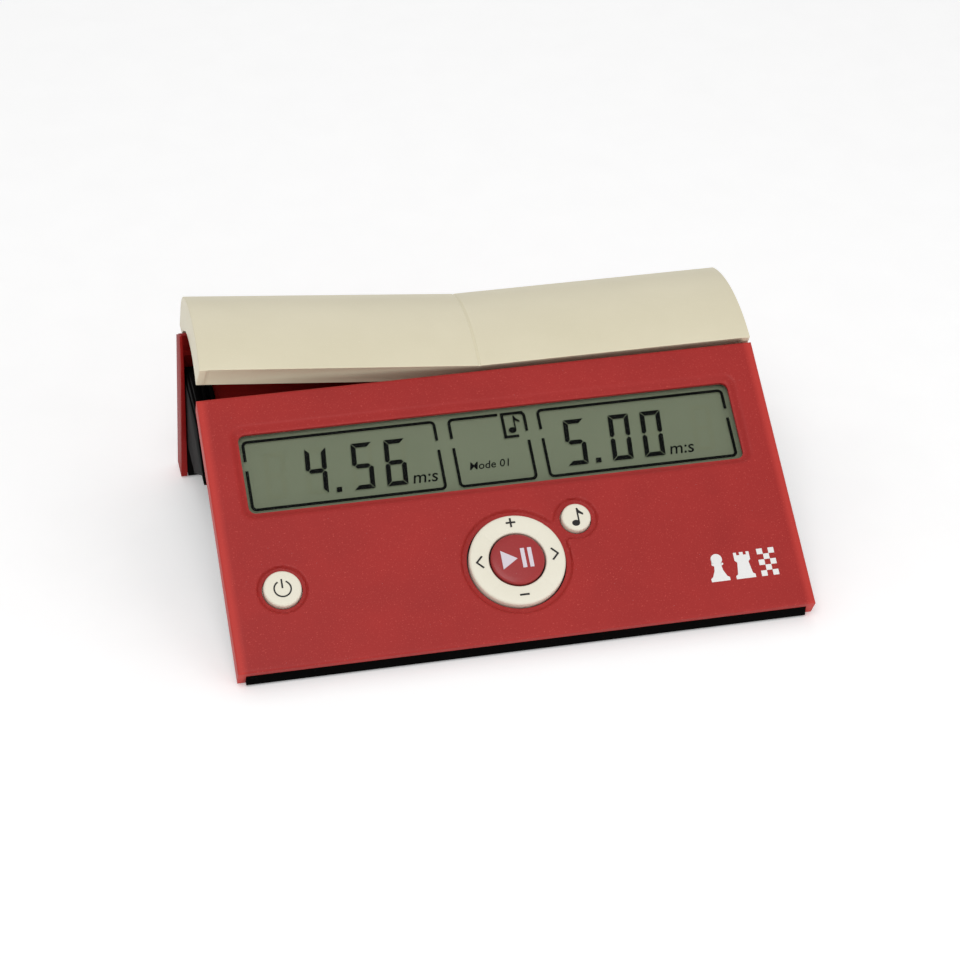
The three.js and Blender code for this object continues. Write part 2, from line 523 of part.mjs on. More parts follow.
// Side outline of the lever, drawn in by inset, as the same number of points each time.
function leverOutline(inset) {
  const radius = crownRadius - inset, round = leverRearRound - inset;
  const lip = lipOn(faceSlope + leverGap + inset, radius);
  const lipTip = [lip[0] + leverSkirt * Math.sin(faceTilt), lip[1] - leverSkirt * Math.cos(faceTilt)];
  const rearCentreY = leverRearY - leverRearRound;
  const reach = crownRadius - leverRearRound;
  const rearRise = Math.sqrt(reach ** 2 - (rearCentreY - crownCentre[0]) ** 2);
  const rearCentre = [rearCentreY, crownCentre[1] + rearRise];
  const tangent = angleAt(rearCentre);
  const underRadius = crownRadius - leverSkirt, underEndY = 92;
  const underEnd = [underEndY, crownCentre[1] + Math.sqrt(underRadius ** 2 - (underEndY - crownY) ** 2)];
  const underside = arcPoints(crownCentre, underRadius, angleAt(lipTip), angleAt(underEnd), 8);
  const skirtFoot = rearTopZ + 0.5;
  return [lip, ...arcPoints(crownCentre, radius, angleAt(lip), tangent, 14),
    ...arcPoints(rearCentre, round, tangent, 0, 5).slice(1), [leverRearY - inset, skirtFoot],
    [99.0, skirtFoot], [96.4, skirtFoot + 2], ...underside.reverse().slice(0, -1), lipTip].slice(1).reverse();
}

// A side outline placed at a distance along one arm. The left arm stands raised by the lever angle.
const onArm = (side, distance, [y, z]) => {
  if (side > 0) return new THREE.Vector3(distance, y, z);
  const rise = z - leverPivotZ;
  return new THREE.Vector3(-distance * Math.cos(leverAngle) + rise * Math.sin(leverAngle), y,
    leverPivotZ + distance * Math.sin(leverAngle) + rise * Math.cos(leverAngle));
};
// The lever's skin as rings from end to end. Both arms meet in one leaning crease, and groove is how
// far the outline is drawn in there.
function leverRings(outline, reach, groove = 0) {
  const plain = outline(0), grooveHalf = 0.45;
  const fromCrease = (side, points, offset) => points.map((p) =>
    onArm(side, offset + (p[1] - leverPivotZ) * Math.tan(leverAngle / 2), p));
  const rings = [
    plain.map((p) => onArm(-1, reach, p)),
    fromCrease(-1, plain, grooveHalf),
    fromCrease(1, outline(groove), 0),
    fromCrease(1, plain, grooveHalf),
    plain.map((p) => onArm(1, reach, p))];
  rings[0].forEach((point, i) => {
    [point.capX, point.capY] = plain[i];
  });
  return rings;
}

const armBlock = (side, x0, x1, y0, y1, z0, z1) => {
  const block = side > 0 ? box(x0, x1, y0, y1, z0, z1) : box(-x1, -x0, y0, y1, z0, z1);
  if (side > 0) return block;
  const turn = new THREE.Matrix4().makeTranslation(0, 0, leverPivotZ)
    .multiply(new THREE.Matrix4().makeRotationY(leverAngle))
    .multiply(new THREE.Matrix4().makeTranslation(0, 0, -leverPivotZ));
  return block.transform(turn.elements);
};

function rockerLever() {
  const hollowOutline = () => {
    const inner = lipOn(faceSlope + leverGap + leverWall, crownRadius - leverWall);
    const radius = crownRadius - leverWall, rearIn = leverRearY - leverWall;
    const rearPoint = [rearIn, crownCentre[1] + Math.sqrt(radius ** 2 - (rearIn - crownY) ** 2) - 1.2];
    return [...arcPoints(crownCentre, radius, angleAt(inner), angleAt(rearPoint), 12), [rearIn, 44],
      [rearIn, 30], [inner[0] + 18 * Math.tan(faceTilt), 30]].reverse();
  };
  const outer = solid(loft(leverRings(leverOutline, leverHalf, 0.3)));
  const hollow = solid(loft(leverRings(hollowOutline, leverHalf - leverWall)));
  const skin = 0.6;                        // how far ribs run into the skin
  const roofAt = (y) => crownCentre[1] + Math.sqrt((crownRadius - leverWall) ** 2 - (y - crownY) ** 2) + skin;
  const hub = (y0, y1) => join(box(-5, 5.6, y0, y1, 44, Math.min(roofAt(y0), roofAt(y1))),
    barAlongY(0, leverPivotZ, 4, y0, y1, 24));
  const hubs = [hub(79.2, 82.2), hub(90.6, 93.6)];
  const pads = [-1, 1].map((side) => armBlock(side, plungerX - 2.6, plungerX + 2.6, crownY - 1.6, crownY + 3.6,
    43.4, roofAt(crownY + 3.6)));
  const ribs = [-1, 1].flatMap((side) => [74.5, 95].map((y) =>
    armBlock(side, 6, leverHalf - leverWall + 0.4, y, y + 1.4, 46.6, Math.min(roofAt(y), roofAt(y + 1.4)))));
  return cut(join(cut(outer, hollow), ...hubs, ...pads, ...ribs),
    barAlongY(0, leverPivotZ, pinRadius + fit, 76, 97, 24));
}
mesh('rocker_lever', rockerLever(), ivoryPlastic, body);

mesh('lever_pin', barAlongY(0, leverPivotZ, pinRadius, 74.4, 98.4, 24), steel, body);
function pivotBracket() {
  const foot = deckTop + rest;
  const ear = (y0, y1) => {
    const side = new THREE.Shape();
    side.moveTo(-5, foot).lineTo(5, foot).lineTo(3.2, leverPivotZ).absarc(0, leverPivotZ, 3.2, 0, Math.PI);
    return solid(slab(side, -y1, -y0).rotateX(Math.PI / 2));
  };
  const floor = cut(box(-8.6, 8.6, 75.2, 98, foot, foot + 1.5),
    ...bracketScrews.map((x) => bar(x, crownY + 1, 0.9 + fit, 30, 50, 12)));
  const bore = barAlongY(0, leverPivotZ, pinRadius + fit, 70, 100, 24);
  return cut(join(floor, ear(75.2, 78), ear(95.2, 98)), bore);
}
mesh('pivot_bracket', pivotBracket(), blackPlastic, body);
bracketScrews.forEach((x, i) => mesh(`bracket_screw_${i + 1}`, join(
  bar(x, crownY + 1, 1.9, deckTop + rest + 1.5 + rest, deckTop + 2.7, 12),
  bar(x, crownY + 1, 0.9, 34.2, deckTop + 2.6, 12)), steel, body));

export default clock;
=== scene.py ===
"""The looks of a digital chess clock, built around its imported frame.

The clock has a tilted red front with a wide display, an ivory ring pad and round keys, a black base
with a leaning rear leg, a red rear cover, and one long ivory rocker lever across the top.
"""
import json
import logging
import math
from dataclasses import dataclass, field
from enum import Enum
from typing import Callable, Iterable, Sequence

import bmesh
import bpy
from mathutils import Matrix, Vector


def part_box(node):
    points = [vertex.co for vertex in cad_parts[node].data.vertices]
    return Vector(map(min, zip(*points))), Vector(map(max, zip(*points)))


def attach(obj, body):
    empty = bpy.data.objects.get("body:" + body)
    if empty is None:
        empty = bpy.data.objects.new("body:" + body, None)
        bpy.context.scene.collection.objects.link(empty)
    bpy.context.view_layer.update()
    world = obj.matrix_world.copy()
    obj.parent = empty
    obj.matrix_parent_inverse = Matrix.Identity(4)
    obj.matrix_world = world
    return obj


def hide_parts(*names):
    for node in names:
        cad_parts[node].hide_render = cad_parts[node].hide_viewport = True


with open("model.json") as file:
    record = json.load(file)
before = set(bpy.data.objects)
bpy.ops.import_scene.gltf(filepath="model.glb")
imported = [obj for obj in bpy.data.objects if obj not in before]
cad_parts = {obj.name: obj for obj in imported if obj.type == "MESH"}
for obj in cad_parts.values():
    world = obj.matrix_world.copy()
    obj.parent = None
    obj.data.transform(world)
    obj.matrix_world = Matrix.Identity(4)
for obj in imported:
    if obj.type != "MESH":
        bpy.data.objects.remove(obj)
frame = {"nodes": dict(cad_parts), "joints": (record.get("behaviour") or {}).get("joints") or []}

LOG = logging.getLogger("chess_clock")
MM = 0.001
Point2 = tuple[float, float]
Points2 = list[Point2]


# ---------------------------------------------------------------- mesh tools
class Cut(Enum):
    """What a boolean does with its tools."""

    REMOVE = "DIFFERENCE"
    ADD = "UNION"


def add_object(name: str, mesh: bpy.types.Mesh) -> bpy.types.Object:
    """Puts a mesh in the scene.

    Args:
        name: the piece's name.
        mesh: its mesh, in metres, in the row frame.

    Returns:
        The new object, at the origin.
    """
    mesh.name = name
    obj = bpy.data.objects.new(name, mesh)
    bpy.context.scene.collection.objects.link(obj)
    return obj


def mesh_object(name: str, points: Iterable[Sequence[float]],
                faces: Iterable[Sequence[int]]) -> bpy.types.Object:
    """Makes an object from points in metres and faces, with its faces turned outwards.

    Args:
        name: the piece's name.
        points: its corners.
        faces: each face's corner numbers.

    Returns:
        The new object.
    """
    mesh = bpy.data.meshes.new(name)
    mesh.from_pydata([tuple(p) for p in points], [], [tuple(f) for f in faces])
    work = bmesh.new()
    work.from_mesh(mesh)
    bmesh.ops.remove_doubles(work, verts=work.verts, dist=1e-7)
    bmesh.ops.recalc_face_normals(work, faces=work.faces)
    work.to_mesh(mesh)
    work.free()
    return add_object(name, mesh)


def apply_modifiers(obj: bpy.types.Object) -> None:
    """Replaces an object's mesh by what its modifiers make of it, and removes them."""
    bpy.context.view_layer.update()
    graph = bpy.context.evaluated_depsgraph_get()
    mesh = bpy.data.meshes.new_from_object(obj.evaluated_get(graph), preserve_all_data_layers=True,
                                           depsgraph=graph)
    obj.modifiers.clear()
    obj.data = mesh


def combine(obj: bpy.types.Object, tools: Sequence[bpy.types.Object], how: Cut) -> None:
    """Cuts tools from an object or joins them to it, and removes the tools."""
    for tool in tools:
        step = obj.modifiers.new("combine", "BOOLEAN")
        step.object = tool
        step.operation = how.value
        step.solver = "EXACT"
    apply_modifiers(obj)
    for tool in tools:
        bpy.data.objects.remove(tool)


def merged(tools: Sequence[bpy.types.Object]) -> bpy.types.Object:
    """Several tools that stay clear of each other, as one object."""
    work = bmesh.new()
    for tool in tools:
        work.from_mesh(tool.data)
        bpy.data.objects.remove(tool)
    mesh = bpy.data.meshes.new("tools")
    work.to_mesh(mesh)
    work.free()
    return add_object("tools", mesh)


def soften(obj: bpy.types.Object, width: float) -> None:
    """Rounds the edges that turn more than 30 degrees and shades the object smooth.

    Args:
        obj: the object.
        width: the round's size in mm.
    """
    work = bmesh.new()
    work.from_mesh(obj.data)
    bmesh.ops.remove_doubles(work, verts=work.verts, dist=2e-6)
    bmesh.ops.dissolve_limit(work, angle_limit=math.radians(0.6), verts=work.verts, edges=work.edges)
    work.to_mesh(obj.data)
    work.free()
    bevel = obj.modifiers.new("round", "BEVEL")
    bevel.width = width * MM
    bevel.segments = 2
    bevel.limit_method = "ANGLE"
    bevel.angle_limit = math.radians(30.0)
    bevel.use_clamp_overlap = True
    bevel.harden_normals = False
    apply_modifiers(obj)
    smooth(obj, 35.0)


def smooth(obj: bpy.types.Object, angle: float) -> None:
    """Shades an object smooth, keeping edges over an angle in degrees sharp."""
    obj.data.polygons.foreach_set("use_smooth", [True] * len(obj.data.polygons))
    obj.data.set_sharp_from_angle(angle=math.radians(angle))
    obj.data.update()


def softened_copy(node: str, name: str, width: float) -> bpy.types.Object:
    """A copy of a CAD node with rounded edges."""
    copy = add_object(name, frame["nodes"][node].data.copy())
    soften(copy, width)
    return copy


def loft(name: str, rings: Sequence[Sequence[Vector]]) -> bpy.types.Object:
    """Joins rings of points, in mm, into one closed skin with a face at each end."""
    count = len(rings[0])
    points = [p * MM for ring in rings for p in ring]
    faces: list[Sequence[int]] = []
    for r in range(len(rings) - 1):
        for i in range(count):
            a, b = r * count + i, r * count + (i + 1) % count
            faces.append((a, b, b + count, a + count))
    faces.append(tuple(range(count - 1, -1, -1)))
    faces.append(tuple((len(rings) - 1) * count + i for i in range(count)))
    return mesh_object(name, points, faces)


def block(x: Point2, y: Point2, z: Point2,
          place: Callable[[float, float, float], Vector]) -> bpy.types.Object:
    """A box tool between low and high values in mm, put in place by a function."""
    points = [place(a, b, c) for a in x for b in y for c in z]
    faces = [(0, 1, 3, 2), (4, 6, 7, 5), (0, 4, 5, 1), (2, 3, 7, 6), (0, 2, 6, 4), (1, 5, 7, 3)]
    return mesh_object("block", points, faces)


# ---------------------------------------------------------------- the tilted front's own frame
MIDDLES: dict[str, Point2] = {}


@dataclass(frozen=True)
class FaceFrame:
    """The tilted front: u across, v up the slope from its lower edge, h out of the face, all in mm."""

    origin: Vector
    up: Vector
    out: Vector

    @classmethod
    def from_frame(cls, cover_depth: float) -> "FaceFrame":
        """Reads the tilt from the key joints and the place from the front cover.

        Args:
            cover_depth: depth of the front cover's side walls in mm.

        Returns:
            The face's frame.
        """
        press = next(j for j in frame["joints"] if j["name"] == "play_press")
        out = -Vector(press["axis"]).normalized()
        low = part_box("front_cover")[0]
        return cls(Vector((0.0, low.y, low.z + cover_depth * MM * out.z)), Vector((0, out.z, -out.y)), out)

    def place(self, u: float, v: float, h: float) -> Vector:
        """A point of the face in metres in the row frame."""
        return self.origin + Vector((u * MM, 0, 0)) + self.up * v * MM + self.out * h * MM

    def matrix(self, u: float, v: float, h: float) -> Matrix:
        """The turn and place that carry a flat drawing in metres onto the face."""
        spot = self.place(u, v, h)
        turn = Matrix((Vector((1, 0, 0)), self.up, self.out)).transposed().to_4x4()
        return Matrix.Translation(spot) @ turn

    def of(self, point: Vector) -> tuple[float, float, float]:
        """The u, v, h in mm of a point in metres."""
        away = point - self.origin
        return away.x / MM, away.dot(self.up) / MM, away.dot(self.out) / MM

    def middle(self, node: str) -> Point2:
        """The middle of a CAD node across and up the face, in mm."""
        if node not in MIDDLES:
            spots = [self.of(Vector(v.co)) for v in frame["nodes"][node].data.vertices]
            MIDDLES[node] = tuple((min(p[i] for p in spots) + max(p[i] for p in spots)) / 2 for i in (0, 1))
        return MIDDLES[node]


FACE = FaceFrame.from_frame(cover_depth=6.1)


def plate(name: str, outlines: Sequence[Points2], low: float, high: float,
          place: Callable[[float, float, float], Vector] = FACE.place) -> bpy.types.Object:
    """Thin closed plates with flat outlines, as one mesh.

    Args:
        name: the piece's name.
        outlines: each plate's outline in mm.
        low: height of the undersides in mm.
        high: height of the tops in mm.
        place: carries u, v, h to the row frame.

    Returns:
        The new object.
    """
    points: list[Vector] = []
    faces: list[Sequence[int]] = []
    for outline in outlines:
        start, count = len(points), len(outline)
        points += [place(u, v, low) for u, v in outline] + [place(u, v, high) for u, v in outline]
        faces.append(tuple(range(start + count - 1, start - 1, -1)))
        faces.append(tuple(range(start + count, start + 2 * count)))
        for i in range(count):
            j = (i + 1) % count
            faces.append((start + i, start + j, start + count + j, start + count + i))
    return mesh_object(name, points, faces)


def arc(centre: Point2, radius: float, start: float, end: float, count: int = 24) -> Points2:
    """Points along an arc, angles in degrees."""
    steps = [math.radians(start + (end - start) * i / count) for i in range(count + 1)]
    return [(centre[0] + radius * math.cos(a), centre[1] + radius * math.sin(a)) for a in steps]


def circle(centre: Point2, radius: float, count: int) -> Points2:
    """A circle's outline."""
    return arc(centre, radius, 0, 360, count)[:-1]


def rounded(u: Point2, v: Point2, radius: float, count: int = 6) -> Points2:
    """A rectangle's outline with round corners."""
    (u0, u1), (v0, v1), r = u, v, radius
    corners = [((u1 - r, v1 - r), 0), ((u0 + r, v1 - r), 90),
               ((u0 + r, v0 + r), 180), ((u1 - r, v0 + r), 270)]
    return [p for centre, a in corners for p in arc(centre, r, a, a + 90, count)]


def stroke(a: Point2, b: Point2, width: float) -> Points2:
    """A straight bar from one point to another."""
    dx, dy = b[0] - a[0], b[1] - a[1]
    size = math.hypot(dx, dy)
    nx, ny = -dy / size * width / 2, dx / size * width / 2
    return [(a[0] + nx, a[1] + ny), (a[0] - nx, a[1] - ny), (b[0] - nx, b[1] - ny), (b[0] + nx, b[1] + ny)]


def shifted(outline: Points2, du: float, dv: float) -> Points2:
    """An outline moved by du and dv."""
    return [(u + du, v + dv) for u, v in outline]


# ---------------------------------------------------------------- shared shader groups
@dataclass(frozen=True)
class Socket:
    """One socket of a shader node group."""

    name: str
    value: float = 0.0
    is_input: bool = True


class ShaderGroup:
    """A node group that gives masks and heights from a piece's own coordinates."""

    def __init__(self, name: str, sockets: Sequence[Socket]) -> None:
        """Makes the empty group.

        Args:
            name: the group's name.
            sockets: its inputs and outputs.
        """
        self.tree = bpy.data.node_groups.new(name, "ShaderNodeTree")
        for item in sockets:
            way = "INPUT" if item.is_input else "OUTPUT"
            socket = self.tree.interface.new_socket(item.name, in_out=way, socket_type="NodeSocketFloat")
            if item.is_input:
                socket.default_value = item.value
        self.inputs = self.tree.nodes.new("NodeGroupInput")
        self.outputs = self.tree.nodes.new("NodeGroupOutput")
        self.coords = self.tree.nodes.new("ShaderNodeTexCoord").outputs["Object"]

    def node(self, kind: str, **settings: object) -> bpy.types.Node:
        """A node of the group with its settings and input values."""
        return make_node(self.tree, kind, **settings)

    def link(self, source: bpy.types.NodeSocket, target: bpy.types.NodeSocket) -> None:
        """Joins two sockets."""
        self.tree.links.new(source, target)


def make_node(tree: bpy.types.NodeTree, kind: str, **settings: object) -> bpy.types.Node:
    """Makes a node; a setting that names an input gives its value, any other its property.

    Args:
        tree: the node tree.
        kind: the node's type after ShaderNode.
        **settings: values by name, with underscores for spaces.

    Returns:
        The new node.
    """
    made = tree.nodes.new("ShaderNode" + kind)
    for key, value in settings.items():
        label = key.replace("_", " ")
        if label in made.inputs:
            made.inputs[label].default_value = value
        else:
            setattr(made, key, value)
    return made


def grain_group() -> bpy.types.NodeTree:
    """Fine spark-eroded grain of a moulding tool: a height and a mask of bright specks."""
    g = ShaderGroup("moulded_grain", [Socket("Scale", 2600.0), Socket("Specks", 0.62),
                                      Socket("Height", is_input=False), Socket("Speck", is_input=False)])
    fine = g.node("TexNoise", Detail=3.0, Roughness=0.62)
    coarse = g.node("TexNoise", Detail=2.0, Roughness=0.5)
    third = g.node("Math", operation="MULTIPLY")
    third.inputs[1].default_value = 0.31
    blend = g.node("Math", operation="MULTIPLY_ADD")
    blend.inputs[1].default_value = 0.45
    speck = g.node("MapRange")
    for source, target in [
            (g.coords, fine.inputs["Vector"]), (g.coords, coarse.inputs["Vector"]),
            (g.inputs.outputs["Scale"], fine.inputs["Scale"]), (g.inputs.outputs["Scale"], third.inputs[0]),
            (third.outputs[0], coarse.inputs["Scale"]), (coarse.outputs["Fac"], blend.inputs[0]),
            (fine.outputs["Fac"], blend.inputs[2]), (blend.outputs[0], g.outputs.inputs["Height"]),
            (fine.outputs["Fac"], speck.inputs["Value"]),
            (g.inputs.outputs["Specks"], speck.inputs["From Min"]),
            (speck.outputs["Result"], g.outputs.inputs["Speck"])]:
        g.link(source, target)
    speck.inputs["From Max"].default_value = 0.78
    return g.tree


def handling_group() -> bpy.types.NodeTree:
    """Soft uneven patches left by moulding flow and by hands, from 0 to 1."""
    g = ShaderGroup("handling", [Socket("Size", 60.0), Socket("Contrast", 1.6),
                                 Socket("Patch", is_input=False)])
    cloud = g.node("TexNoise", Detail=4.0, Roughness=0.55, Distortion=0.3)
    centre = g.node("Math", operation="SUBTRACT")
    centre.inputs[1].default_value = 0.5
    widen = g.node("Math", operation="MULTIPLY_ADD", use_clamp=True)
    widen.inputs[2].default_value = 0.5
    for source, target in [
            (g.coords, cloud.inputs["Vector"]), (g.inputs.outputs["Size"], cloud.inputs["Scale"]),
            (cloud.outputs["Fac"], centre.inputs[0]), (centre.outputs[0], widen.inputs[0]),
            (g.inputs.outputs["Contrast"], widen.inputs[1]), (widen.outputs[0], g.outputs.inputs["Patch"])]:
        g.link(source, target)
    return g.tree


def dust_group() -> bpy.types.NodeTree:
    """Sparse specks of lint and dust, as a mask."""
    g = ShaderGroup("dust", [Socket("Scale", 420.0), Socket("Amount", 0.045), Socket("Mask", is_input=False)])
    cells = g.node("TexVoronoi")
    near = g.node("Math", operation="LESS_THAN")
    for source, target in [
            (g.coords, cells.inputs["Vector"]), (g.inputs.outputs["Scale"], cells.inputs["Scale"]),
            (cells.outputs["Distance"], near.inputs[0]), (g.inputs.outputs["Amount"], near.inputs[1]),
            (near.outputs[0], g.outputs.inputs["Mask"])]:
        g.link(source, target)
    return g.tree


GRAIN, HANDLING, DUST = grain_group(), handling_group(), dust_group()


# ---------------------------------------------------------------- finishes
Colour = tuple[float, float, float]


def linear(red: int, green: int, blue: int) -> Colour:
    """A linear colour from its 8-bit display values."""
    parts = [c / 255 for c in (red, green, blue)]
    return tuple(c / 12.92 if c <= 0.04045 else ((c + 0.055) / 1.055) ** 2.4 for c in parts)


@dataclass(frozen=True)
class Finish:
    """A surface finish. Its colours are linear and its sizes are in mm.

    Attributes:
        name: the material's name.
        slot: the record's material slot that it stands for.
        dark: colour in the hollows of the grain.
        light: colour on its tops.
        speck: colour of the brightest specks.
        rough: lowest and highest roughness.
        grain_scale: grains per metre.
        grain_height: bump height in mm.
        metallic: 1 for bare metal.
        coat: weight of a clear coat.
        dust: share of dust.
        specks_from: grain height above which specks show.
        gloss: strength of the plain reflection, 0.5 for bare plastic.
    """

    name: str
    slot: str
    dark: Colour
    light: Colour
    speck: Colour
    rough: tuple[float, float] = (0.42, 0.55)
    grain_scale: float = 2600.0
    grain_height: float = 0.012
    metallic: float = 0.0
    coat: float = 0.0
    dust: float = 0.03
    specks_from: float = 0.6
    gloss: float = 0.3

    def material(self) -> bpy.types.Material:
        """Builds the material once and returns it."""
        known = bpy.data.materials.get(self.name)
        return known or self.build()

    def build(self) -> bpy.types.Material:
        """Builds the nodes.

        Returns:
            The new material.
        """
        made = bpy.data.materials.new(self.name)
        made.use_nodes = True
        tree = made.node_tree
        shader = tree.nodes["Principled BSDF"]
        shader.inputs["Metallic"].default_value = self.metallic
        shader.inputs["Coat Weight"].default_value = self.coat
        shader.inputs["Coat Roughness"].default_value = 0.2
        shader.inputs["Specular IOR Level"].default_value = self.gloss
        grain = self.group(tree, GRAIN, Scale=self.grain_scale, Specks=self.specks_from)
        patch = self.group(tree, HANDLING)
        dust = self.group(tree, DUST, Amount=self.dust)
        body = self.mix(tree, patch.outputs["Patch"], self.dark, self.light)
        speckled = self.mix(tree, grain.outputs["Speck"], body, self.speck)
        dusty = self.mix(tree, dust.outputs["Mask"], speckled, self.dust_colour())
        tree.links.new(self.tint(tree, dusty), shader.inputs["Base Color"])
        rough = make_node(tree, "MapRange")
        rough.inputs["To Min"].default_value, rough.inputs["To Max"].default_value = self.rough
        tree.links.new(patch.outputs["Patch"], rough.inputs["Value"])
        tree.links.new(rough.outputs["Result"], shader.inputs["Roughness"])
        bump = make_node(tree, "Bump", Strength=1.0, Distance=self.grain_height * MM)
        tree.links.new(grain.outputs["Height"], bump.inputs["Height"])
        tree.links.new(bump.outputs["Normal"], shader.inputs["Normal"])
        made.diffuse_color = (*self.light, 1.0)
        return made

    def dust_colour(self) -> Colour:
        """The body colour with a little grey lint on it."""
        return tuple(0.75 * c + 0.25 * 0.55 for c in self.light)

    def tint(self, tree: bpy.types.NodeTree, colour: bpy.types.NodeSocket) -> bpy.types.NodeSocket:
        """A last change of colour over the surface; none on a plain finish."""
        return colour

    @staticmethod
    def group(tree: bpy.types.NodeTree, shared: bpy.types.NodeTree, **values: float) -> bpy.types.Node:
        """Puts a shared group in a material with its own values."""
        made = tree.nodes.new("ShaderNodeGroup")
        made.node_tree = shared
        for name, value in values.items():
            made.inputs[name].default_value = value
        return made

    @staticmethod
    def mix(tree: bpy.types.NodeTree, factor: bpy.types.NodeSocket, a: object,
            b: object) -> bpy.types.NodeSocket:
        """Mixes two colours, each a colour or a socket, by a mask."""
        made = make_node(tree, "Mix", data_type="RGBA")
        tree.links.new(factor, made.inputs["Factor"])
        for socket, value in ((made.inputs[6], a), (made.inputs[7], b)):
            if isinstance(value, bpy.types.NodeSocket):
                tree.links.new(value, socket)
            else:
                socket.default_value = (*value, 1.0)
        return made.outputs[2]

    def dress(self, piece: bpy.types.Object) -> None:
        """Gives a piece this finish alone."""
        piece.data.materials.clear()
        piece.data.materials.append(self.material())


@dataclass(frozen=True)
class RedWithEdgeHighlights(Finish):
    """The front cover's red, with highlight bands painted brighter along its side edges.

    Attributes:
        band_from: half width in mm where the painted highlight bands start.
        band_wide: width in mm over which they come up.
        highlight_share: how much of the painted highlight colour they show.
        band: colour of the painted highlight bands.
    """

    band_from: float = 72.2
    band_wide: float = 1.6
    highlight_share: float = 0.6
    # painted highlight: the brighter red of the side edge bands
    band: Colour = linear(205, 66, 58)

    def tint(self, tree: bpy.types.NodeTree, colour: bpy.types.NodeSocket) -> bpy.types.NodeSocket:
        """Paints the highlight bands: brightens the colour beyond the half width."""
        coords = make_node(tree, "TexCoord")
        split = make_node(tree, "SeparateXYZ")
        side = make_node(tree, "Math", operation="ABSOLUTE")
        edge = make_node(tree, "MapRange")
        edge.inputs["From Min"].default_value = self.band_from * MM
        edge.inputs["From Max"].default_value = (self.band_from + self.band_wide) * MM
        edge.inputs["To Max"].default_value = self.highlight_share
        tree.links.new(coords.outputs["Object"], split.inputs[0])
        tree.links.new(split.outputs["X"], side.inputs[0])
        tree.links.new(side.outputs[0], edge.inputs["Value"])
        return self.mix(tree, edge.outputs["Result"], colour, self.band)


@dataclass(frozen=True)
class ClearWindow(Finish):
    """Thin clear acrylic."""

    alpha: float = 0.02

    def build(self) -> bpy.types.Material:
        """Builds the plastic's nodes and lets light through."""
        made = super().build()
        made.node_tree.nodes["Principled BSDF"].inputs["Alpha"].default_value = self.alpha
        return made


@dataclass(frozen=True)
class CircuitBoard(Finish):
    """Green solder mask with copper tracks under it."""

    track: Colour = linear(46, 120, 66)

    def tint(self, tree: bpy.types.NodeTree, colour: bpy.types.NodeSocket) -> bpy.types.NodeSocket:
        """Adds a pattern of tracks."""
        bricks = make_node(tree, "TexBrick", Scale=160.0, Mortar_Size=0.09, Mortar_Smooth=0.1)
        coords = make_node(tree, "TexCoord")
        tree.links.new(coords.outputs["Object"], bricks.inputs["Vector"])
        return self.mix(tree, bricks.outputs["Fac"], colour, self.track)


